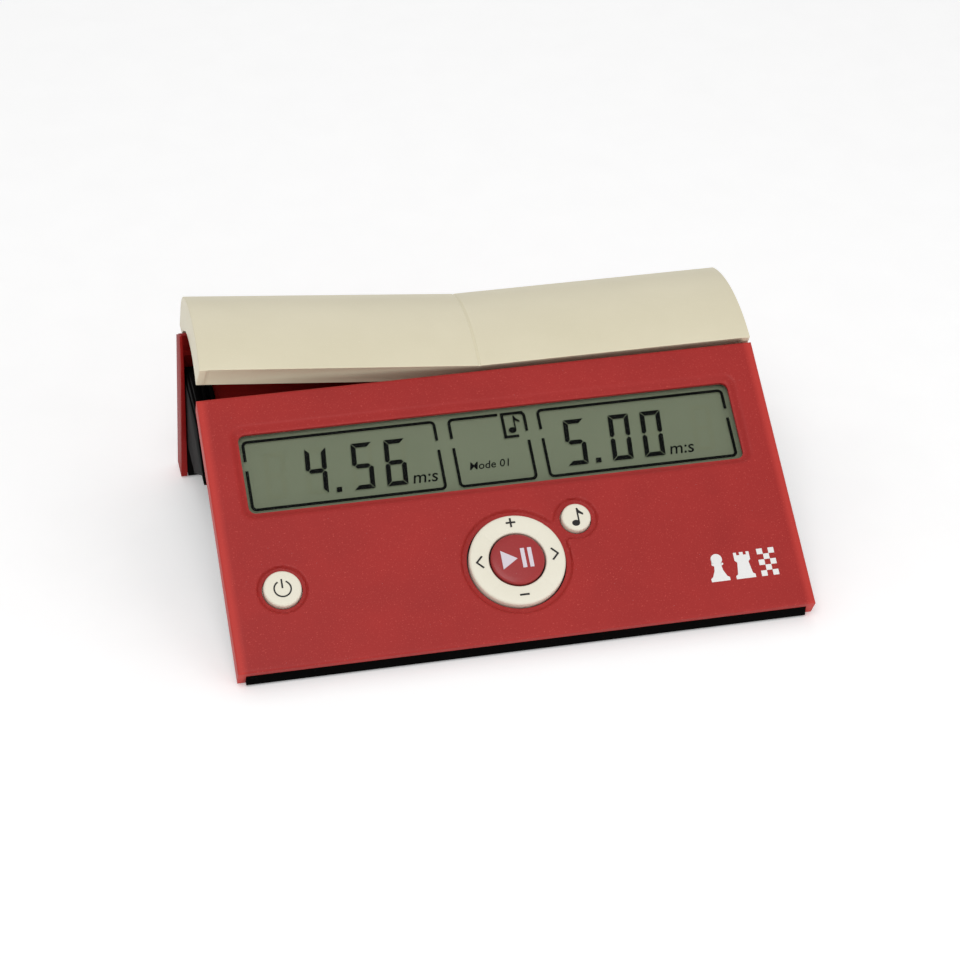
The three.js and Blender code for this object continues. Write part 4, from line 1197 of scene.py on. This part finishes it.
# ---------------------------------------------------------------- lever
@dataclass
class RockerLever:
    """The long two-armed lever. Sizes are in mm; y counts from the front edge, z from the table."""

    reach: float = 74.6
    crown: Point2 = (85.5, 54.15)
    crown_radius: float = 44.0
    wall: float = 2.0
    skirt: float = 8.2
    rear: float = 103.4
    rear_round: float = 6.0
    slope: float = 76.9
    gap: float = 0.6
    edge_round: float = 0.7
    channel: float = 0.9
    channel_from: float = 1.9
    plunger: float = 18.0
    foot: float = 41.1
    under_end: float = 92.0
    ledge: Point2 = (96.4, 99.0)
    hollow_foot: float = 30.0
    crease_groove: float = 0.28
    crease_half: float = 0.4
    hubs: tuple[Point2, ...] = ((79.2, 82.2), (90.6, 93.6))
    hub_radius: float = 4.0
    bore_radius: float = 1.55
    bore_span: Point2 = (76.0, 97.0)
    pad_half: float = 2.6
    pad_span: Point2 = (-1.6, 3.6)
    pad_foot: float = 43.4
    ribs: Point2 = (74.5, 95.0)
    rib: float = 1.4
    rib_foot: float = 46.6

    def __post_init__(self) -> None:
        """Reads the pivot, the angle and the table edge from the frame."""
        joint = next(j for j in frame["joints"] if j["name"] == "lever_rock")
        self.angle = math.radians(joint["range_deg"][1])
        self.front = FACE.origin.y / MM
        self.pivot = joint["pos_m"][2] / MM
        self.centre = (self.crown[0], self.crown[1] - self.crown_radius)
        self.sin, self.cos = -FACE.out.y, FACE.out.z

    def build(self) -> None:
        """Builds the lever and dresses it."""
        lever = loft("rocker_lever_shell", self.rings())
        soften_edges(lever, self.edge_round, 4)
        combine(lever, [self.hollow()], Cut.REMOVE)
        combine(lever, self.inside(), Cut.ADD)
        combine(lever, [self.bore()], Cut.REMOVE)
        smooth(lever, 32.0)
        settle(lever, "lever", FINISH.ivory, "rocker_lever")

    def on_face(self, v: float, h: float) -> Point2:
        """The y, z of a point over the tilted front."""
        return v * self.cos - h * self.sin, FACE.origin.z / MM + v * self.sin + h * self.cos

    def angle_at(self, point: Point2) -> float:
        """A point's angle round the crown's centre, in degrees."""
        return math.degrees(math.atan2(point[1] - self.centre[1], point[0] - self.centre[0]))

    def lip(self, v: float, radius: float) -> Point2:
        """Where the line square to the face at slope distance v meets the crown."""
        h = 0.0
        for _ in range(40):
            y, z = self.on_face(v, h)
            h += (radius - math.hypot(y - self.centre[0], z - self.centre[1])) * 0.9
        return self.on_face(v, h)

    def outline(self, channel: float) -> Points2:
        """The side outline, turning the same way as the others, with the finger channel in its lip."""
        lip = self.lip(self.slope + self.gap, self.crown_radius)
        tip = (lip[0] + self.skirt * self.sin, lip[1] - self.skirt * self.cos)
        band = []
        for i in range(1, 14):
            t = i / 14
            depth = channel * math.sin(math.pi * t) ** 0.6 if 0.04 < t < 0.94 else 0.0
            band.append((lip[0] + (tip[0] - lip[0]) * t + depth * self.cos,
                         lip[1] + (tip[1] - lip[1]) * t + depth * self.sin))
        rear_y = self.rear - self.rear_round
        drop = math.sqrt((self.crown_radius - self.rear_round) ** 2 - (rear_y - self.centre[0]) ** 2)
        rear_centre = (rear_y, self.centre[1] + drop)
        tangent = self.angle_at(rear_centre)
        crown = arc(self.centre, self.crown_radius, self.angle_at(lip), tangent, 56)
        back = arc(rear_centre, self.rear_round, tangent, 0, 12)[1:]
        radius = self.crown_radius - self.skirt
        drop = math.sqrt(radius ** 2 - (self.under_end - self.crown[0]) ** 2)
        start = self.angle_at((self.under_end, self.centre[1] + drop))
        under = arc(self.centre, radius, start, self.angle_at(tip), 20)
        foot = [(self.rear, self.foot), (self.ledge[1], self.foot), (self.ledge[0], self.foot + 2)]
        shape = crown + back + foot + under[:-1] + [tip]
        return list(reversed(shape + list(reversed(band))))

    def on_arm(self, side: int, distance: float, point: Point2) -> Vector:
        """A side outline's point at a distance along one arm, in mm in the row frame."""
        y, z = point
        if side > 0:
            return Vector((distance, y + self.front, z))
        rise = z - self.pivot
        return Vector((-distance * math.cos(self.angle) + rise * math.sin(self.angle), y + self.front,
                       self.pivot + distance * math.sin(self.angle) + rise * math.cos(self.angle)))

    def rings(self) -> list[list[Vector]]:
        """Rings of the outer skin from the left end to the right end, both arms meeting in a crease."""
        start = self.channel_from
        steps = [(0.0, 0.0), (start, 0.0), (start + 0.35, 0.55), (start + 0.8, 0.85), (start + 1.5, 1.0)]
        steps += [(d, 1.0) for d in (8.0, 16.0, 26.0, 36.0, 46.0, 56.0, 64.0, 70.0)]
        sides = [(self.reach - d, self.outline(self.channel * c)) for d, c in steps]
        left, right = ([[self.on_arm(side, away, p) for p in shape] for away, shape in sides]
                       for side in (-1, 1))
        half = math.tan(self.angle / 2)
        plain = self.outline(self.channel)
        groove, wide = self.crease_groove, self.crease_half

        def crease(side: int, offset: float, sink: float) -> list[Vector]:
            """A ring beside the crease, its crown sunk a little."""
            ring = []
            for y, z in plain:
                away = math.hypot(y - self.centre[0], z - self.centre[1])
                shrink = sink if away > self.crown_radius - 1 else 0.0
                k = (away - shrink) / away
                point = (self.centre[0] + (y - self.centre[0]) * k, self.centre[1] + (z - self.centre[1]) * k)
                ring.append(self.on_arm(side, offset + (z - self.pivot) * half, point))
            return ring

        middle = [crease(-1, wide, 0), crease(-1, wide / 2, groove / 2), crease(1, 0, groove),
                  crease(1, wide / 2, groove / 2), crease(1, wide, 0)]
        return left + middle + list(reversed(right))

    def hollow(self) -> bpy.types.Object:
        """The space under the lever's skin, as a cutting tool."""
        radius = self.crown_radius - self.wall
        inner = self.lip(self.slope + self.gap + self.wall, radius)
        rear = self.rear - self.wall
        back = (rear, self.centre[1] + math.sqrt(radius ** 2 - (rear - self.centre[0]) ** 2) - 1.2)
        shape = arc(self.centre, radius, self.angle_at(inner), self.angle_at(back), 40)
        low = self.hollow_foot
        shape += [(rear, 44), (rear, low), (inner[0] + 18 * self.sin / self.cos, low)]
        shape.reverse()
        reach = self.reach - self.wall
        half = math.tan(self.angle / 2)
        crease = [self.on_arm(1, (p[1] - self.pivot) * half, p) for p in shape]
        return loft("hollow", [[self.on_arm(-1, reach, p) for p in shape], crease,
                               [self.on_arm(1, reach, p) for p in shape]])

    def roof(self, y: float) -> float:
        """Height of the underside of the skin, and a little more."""
        radius, bite = self.crown_radius - self.wall, 0.6
        return self.centre[1] + math.sqrt(radius ** 2 - (y - self.crown[0]) ** 2) + bite

    def inside(self) -> list[bpy.types.Object]:
        """Hubs for the pin, pads over the plungers and long ribs."""
        made = []
        for y0, y1 in self.hubs:
            top = min(self.roof(y0), self.roof(y1))
            shape = [(5.6, top), (-5, top)] + arc((0, self.pivot), self.hub_radius, 180, 360, 24)
            made.append(self.prism(shape, y0, y1))
        for side in (-1, 1):
            def place(x: float, y: float, z: float, side: int = side) -> Vector:
                """A point at a distance along this arm, in metres."""
                return self.on_arm(side, x, (y, z)) * MM
            y0, y1 = (self.crown[0] + y for y in self.pad_span)
            made.append(block((self.plunger - self.pad_half, self.plunger + self.pad_half), (y0, y1),
                              (self.pad_foot, self.roof(y1)), place))
            for y in self.ribs:
                top = min(self.roof(y), self.roof(y + self.rib))
                made.append(block((6, self.reach - self.wall + 0.4), (y, y + self.rib), (self.rib_foot, top),
                                  place))
        return made

    def prism(self, outline: Points2, y0: float, y1: float) -> bpy.types.Object:
        """An x, z outline given its width along y."""
        def place(x: float, z: float, y: float) -> Vector:
            """A point in the row frame, in metres."""
            return Vector((x, y + self.front, z)) * MM
        return plate("prism", [outline], y0, y1, place)

    def bore(self) -> bpy.types.Object:
        """The running bore for the pin."""
        return self.prism(circle((0, self.pivot), self.bore_radius, 40), *self.bore_span)


def soften_edges(obj: bpy.types.Object, width: float, segments: int) -> None:
    """Rounds edges that turn more than 50 degrees, in place.

    Args:
        obj: the object.
        width: the round's size in mm.
        segments: faces across the round.
    """
    work = bmesh.new()
    work.from_mesh(obj.data)
    sharp = [e for e in work.edges if len(e.link_faces) == 2 and e.calc_face_angle() > math.radians(50)]
    bmesh.ops.bevel(work, geom=sharp, offset=width * MM, segments=segments, profile=0.5, affect="EDGES",
                    clamp_overlap=True)
    bmesh.ops.recalc_face_normals(work, faces=work.faces)
    work.to_mesh(obj.data)
    work.free()


# ---------------------------------------------------------------- screws
@dataclass
class ScrewSet:
    """Identical cross-headed screws, placed by a geometry node tree on the axes of their CAD nodes.

    Attributes:
        name: the piece's name.
        nodes: the CAD nodes that the screws stand for.
        axis: direction out of the heads.
        head: a head's radius in mm.
        head_tall: its height in mm.
        shank: the shank's radius in mm.
        taper: radius of the head's top as a share of its foot.
        cross_long: length of the cross recess as a share of the head's radius.
        cross_wide: width of its bars as a share of the head's radius.
        cross_deep: height of the cutting bars as a share of the head's height.
        overlap: how far the shank starts inside the head, as a share of its height.
    """

    name: str
    nodes: Sequence[str]
    axis: Vector
    head: float
    head_tall: float
    shank: float
    taper: float = 0.86
    cross_long: float = 1.05
    cross_wide: float = 0.24
    cross_deep: float = 1.1
    overlap: float = 0.04

    def build(self) -> None:
        """Builds the set as one mesh and dresses it."""
        spots = bpy.data.meshes.new(self.name + "_spots")
        spots.from_pydata([tuple(self.head_centre(n)) for n in self.nodes], [], [])
        piece = add_object(self.name, spots)
        tree = self.tree()
        step = piece.modifiers.new("screws", "NODES")
        step.node_group = tree
        turn = Vector((0, 0, 1)).rotation_difference(self.axis).to_euler()
        values = {"Head radius": self.head * MM, "Head height": self.head_tall * MM,
                  "Shank radius": self.shank * MM, "Length": self.shank_length() * MM}
        for item in tree.interface.items_tree:
            if item.in_out == "INPUT" and item.name in values:
                step[item.identifier] = values[item.name]
            elif item.in_out == "INPUT" and item.name == "Turn":
                step[item.identifier] = tuple(turn)
        apply_modifiers(piece)
        smooth(piece, 30.0)
        settle(piece, "housing", FINISH.steel, *self.nodes)

    def along(self, node: str) -> tuple[float, float]:
        """The lowest and highest place of a node's points along the axis, in metres."""
        values = [Vector(v.co).dot(self.axis) for v in frame["nodes"][node].data.vertices]
        return min(values), max(values)

    def shank_length(self) -> float:
        """The shank's length in mm."""
        low, high = self.along(self.nodes[0])
        return (high - low) / MM - self.head_tall

    def head_centre(self, node: str) -> Vector:
        """The middle of a head's outer face, in metres."""
        low, high = self.along(node)
        middle = sum((Vector(v.co) for v in frame["nodes"][node].data.vertices), Vector())
        middle /= len(frame["nodes"][node].data.vertices)
        return middle + self.axis * (high - middle.dot(self.axis))

    def tree(self) -> bpy.types.NodeTree:
        """The node tree: a head with a cross recess and a plain shank at every point."""
        tree = bpy.data.node_groups.new(self.name + "_screws", "GeometryNodeTree")
        for name, kind in (("Geometry", "NodeSocketGeometry"), ("Head radius", "NodeSocketFloat"),
                           ("Head height", "NodeSocketFloat"), ("Shank radius", "NodeSocketFloat"),
                           ("Length", "NodeSocketFloat"), ("Turn", "NodeSocketVector")):
            tree.interface.new_socket(name, in_out="INPUT", socket_type=kind)
        tree.interface.new_socket("Geometry", in_out="OUTPUT", socket_type="NodeSocketGeometry")

        def node(kind: str, **settings: object) -> bpy.types.Node:
            """A node of the tree with its settings."""
            made = tree.nodes.new(kind)
            for key, value in settings.items():
                setattr(made, key, value)
            return made

        def link(a: bpy.types.NodeSocket, b: bpy.types.NodeSocket) -> None:
            """Joins two sockets."""
            tree.links.new(a, b)

        def scaled(value: bpy.types.NodeSocket, factor: float) -> bpy.types.NodeSocket:
            """A value times a factor."""
            made = node("ShaderNodeMath", operation="MULTIPLY")
            link(value, made.inputs[0])
            made.inputs[1].default_value = factor
            return made.outputs[0]

        def lifted(mesh: bpy.types.NodeSocket, height: bpy.types.NodeSocket) -> bpy.types.NodeSocket:
            """A mesh moved up by a height."""
            joined, moved = node("ShaderNodeCombineXYZ"), node("GeometryNodeTransform")
            link(height, joined.inputs["Z"])
            link(mesh, moved.inputs["Geometry"])
            link(joined.outputs[0], moved.inputs["Translation"])
            return moved.outputs["Geometry"]

        given, result = node("NodeGroupInput"), node("NodeGroupOutput")
        ports = given.outputs
        head = node("GeometryNodeMeshCone")
        head.inputs["Vertices"].default_value = 32
        link(scaled(ports["Head radius"], self.taper), head.inputs["Radius Top"])
        link(ports["Head radius"], head.inputs["Radius Bottom"])
        link(ports["Head height"], head.inputs["Depth"])
        top = lifted(head.outputs["Mesh"], scaled(ports["Head height"], -1.0))
        crossed = node("GeometryNodeMeshBoolean", operation="DIFFERENCE", solver="EXACT")
        link(top, crossed.inputs["Mesh 1"])
        for flip in (False, True):
            bar, size = node("GeometryNodeMeshCube"), node("ShaderNodeCombineXYZ")
            link(scaled(ports["Head radius"], self.cross_long), size.inputs["Y" if flip else "X"])
            link(scaled(ports["Head radius"], self.cross_wide), size.inputs["X" if flip else "Y"])
            link(scaled(ports["Head height"], self.cross_deep), size.inputs["Z"])
            link(size.outputs[0], bar.inputs["Size"])
            link(bar.outputs["Mesh"], crossed.inputs["Mesh 2"])
        shank = node("GeometryNodeMeshCylinder")
        shank.inputs["Vertices"].default_value = 20
        link(ports["Shank radius"], shank.inputs["Radius"])
        link(ports["Length"], shank.inputs["Depth"])
        offset = node("ShaderNodeMath", operation="MULTIPLY_ADD")
        link(ports["Length"], offset.inputs[0])
        offset.inputs[1].default_value = -0.5
        link(scaled(ports["Head height"], self.overlap - 1.0), offset.inputs[2])
        whole = node("GeometryNodeJoinGeometry")
        link(crossed.outputs["Mesh"], whole.inputs[0])
        link(lifted(shank.outputs["Mesh"], offset.outputs[0]), whole.inputs[0])
        spots = node("GeometryNodeMeshToPoints")
        link(ports["Geometry"], spots.inputs["Mesh"])
        copies = node("GeometryNodeInstanceOnPoints")
        link(spots.outputs["Points"], copies.inputs["Points"])
        link(whole.outputs[0], copies.inputs["Instance"])
        link(ports["Turn"], copies.inputs["Rotation"])
        real, dress = node("GeometryNodeRealizeInstances"), node("GeometryNodeSetMaterial")
        dress.inputs["Material"].default_value = FINISH.steel.material()
        link(copies.outputs["Instances"], real.inputs["Geometry"])
        link(real.outputs["Geometry"], dress.inputs["Geometry"])
        link(dress.outputs["Geometry"], result.inputs[0])
        return tree


# ---------------------------------------------------------------- pieces that keep their CAD shape
@dataclass(frozen=True)
class Softened:
    """A CAD node shown by a copy with rounded edges."""

    node: str
    body: str
    finish: Finish
    width: float

    def build(self) -> None:
        """Builds the copy and lets it stand for the node."""
        piece = softened_copy(self.node, self.node + "_finished", self.width)
        settle(piece, self.body, self.finish, self.node)


@dataclass
class Casing:
    """The base frame, rear cover, battery door, pads and other shells that keep their CAD shape."""

    def build(self) -> None:
        """Builds each shell with softened edges."""
        shells = [
            Softened("base_frame", "housing", FINISH.black, 0.28),
            Softened("rear_cover", "housing", FINISH.red, 0.4),
            Softened("battery_door", "battery_cover", FINISH.red, 0.25),
            Softened("pivot_bracket", "housing", FINISH.black, 0.25),
        ]
        pads = [f"{end}_foot_{side}" for end in ("front", "rear") for side in ("left", "right")]
        shells += [Softened(pad, "housing", FINISH.pad_rubber, 0.12) for pad in pads]
        for shell in shells:
            shell.build()


@dataclass
class Insides:
    """The CAD nodes that are shown as they are, each with its own finish."""

    finishes: dict[str, Finish] = field(default_factory=lambda: {
        "window_lens": FINISH.window, "lcd_cell": FINISH.display, "lcd_reflector": FINISH.foil,
        "lcd_frame": FINISH.black, "zebra_strip_lower": FINISH.grey_rubber,
        "zebra_strip_upper": FINISH.grey_rubber, "main_board": FINISH.board, "switch_board": FINISH.board,
        "controller_chip": FINISH.black, "crystal_can": FINISH.steel, "piezo_buzzer": FINISH.brass,
        "keypad_mat": FINISH.grey_rubber, "nav_carrier": FINISH.black, "battery_cell": FINISH.jacket,
        "battery_spring": FINISH.steel, "battery_contact": FINISH.brass, "battery_wire_red": FINISH.wire_red,
        "battery_wire_black": FINISH.wire_black, "lever_switch_left": FINISH.black,
        "lever_switch_right": FINISH.black, "switch_plunger_left": FINISH.ivory,
        "switch_plunger_right": FINISH.ivory, "switch_ribbon": FINISH.grey_rubber, "lever_pin": FINISH.steel})

    def build(self) -> None:
        """Gives each node its finish."""
        for node, finish in self.finishes.items():
            finish.dress(frame["nodes"][node])
            LOG.info("%s keeps its CAD shape", node)


# ---------------------------------------------------------------- scene
@dataclass(frozen=True)
class Lamp:
    """A square area light that faces the clock, its place and width in metres and its power in watts."""

    name: str
    spot: tuple[float, float, float]
    size: float
    power: float


@dataclass
class Studio:
    """Floor, lights and camera. Places are in metres."""

    eye: tuple[float, float, float] = (-0.1335, -0.6105, 0.4073)
    azimuth: float = -12.2
    elevation: float = 31.9
    lens: float = 103.3
    glow: float = 0.24
    room: float = 0.52
    lamps: tuple[Lamp, ...] = (Lamp("key", (-0.2, -0.55, 0.95), 0.6, 4.2),
                               Lamp("fill", (0.7, -0.9, 0.4), 0.8, 2.0),
                               Lamp("rim", (0.1, 0.9, 0.7), 0.7, 0.9))

    def build(self) -> None:
        """Builds the whole studio."""
        self.camera()
        self.floor()
        self.lights()

    def camera(self) -> None:
        """The camera, at the front and a little to the left."""
        a, e = math.radians(self.azimuth), math.radians(self.elevation)
        away = Vector((math.sin(a) * math.cos(e), -math.cos(a) * math.cos(e), math.sin(e)))
        data = bpy.data.cameras.new("view")
        data.lens = self.lens
        data.sensor_width = 36.0
        data.clip_end = 20.0
        camera = bpy.data.objects.new("view", data)
        camera.location = self.eye
        camera.rotation_euler = (-away).to_track_quat("-Z", "Y").to_euler()
        bpy.context.scene.collection.objects.link(camera)
        bpy.context.scene.camera = camera

    def floor(self) -> None:
        """A plain pale floor that glows a little, so that it stays close to white."""
        size = 4.0
        floor = mesh_object("floor", [(-size, -size, 0), (size, -size, 0), (size, size, 0), (-size, size, 0)],
                            [(0, 1, 2, 3)])
        floor_finish = Finish("floor_paper", "floor", (0.9, 0.9, 0.9), (0.93, 0.93, 0.93), (0.95, 0.95, 0.95),
                              (0.8, 0.9), 300.0, 0.0, dust=0.0)
        floor_finish.dress(floor)
        shader = floor_finish.material().node_tree.nodes["Principled BSDF"]
        shader.inputs["Emission Color"].default_value = (1.0, 1.0, 1.0, 1.0)
        shader.inputs["Emission Strength"].default_value = self.glow

    def lights(self) -> None:
        """Soft studio light: a white room, a key light above the front, a low fill and a rim light."""
        world = bpy.data.worlds.new("studio")
        bpy.context.scene.world = world
        world.use_nodes = True
        background = world.node_tree.nodes["Background"]
        background.inputs["Color"].default_value = (1.0, 1.0, 1.0, 1.0)
        background.inputs["Strength"].default_value = self.room
        bpy.context.scene.view_settings.view_transform = "Standard"
        for lamp in self.lamps:
            data = bpy.data.lights.new(lamp.name, "AREA")
            data.size = lamp.size
            data.energy = lamp.power
            made = bpy.data.objects.new(lamp.name, data)
            made.location = lamp.spot
            made.rotation_euler = (-Vector(lamp.spot)).to_track_quat("-Z", "Y").to_euler()
            bpy.context.scene.collection.objects.link(made)


def clear_defaults() -> None:
    """Removes the cube, light and camera that a new file starts with."""
    for name in ("Cube", "Light", "Camera"):
        spare = bpy.data.objects.get(name)
        if spare:
            bpy.data.objects.remove(spare)


def main() -> None:
    """Builds the studio and every part of the clock in order."""
    logging.basicConfig(level=logging.INFO, format="%(message)s")
    clear_defaults()
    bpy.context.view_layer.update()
    face_down = -FACE.out
    rear_lean = math.radians(12.7)
    rear_out = Vector((0, math.cos(rear_lean), math.sin(rear_lean)))
    parts = [
        Studio(), Insides(), FrontCover(), Display(), Keys(), CornerMark(), RockerLever(), Casing(),
        ScrewSet("case_screws", [f"case_screw_{i}" for i in range(1, 7)], face_down, 2.2, 1.3, 1.0),
        ScrewSet("board_screws", [f"board_screw_{i}" for i in range(1, 5)], face_down, 1.9, 1.3, 0.9),
        ScrewSet("rear_screws", [f"rear_screw_{i}" for i in range(1, 5)], rear_out, 2.2, 0.8, 1.1),
        ScrewSet("bracket_screws", [f"bracket_screw_{i}" for i in (1, 2)], Vector((0, 0, 1)), 1.9, 1.1, 0.9),
    ]
    for part in parts:
        LOG.info("building %s", getattr(part, "name", type(part).__name__))
        part.build()


if __name__ == "__main__":
    main()
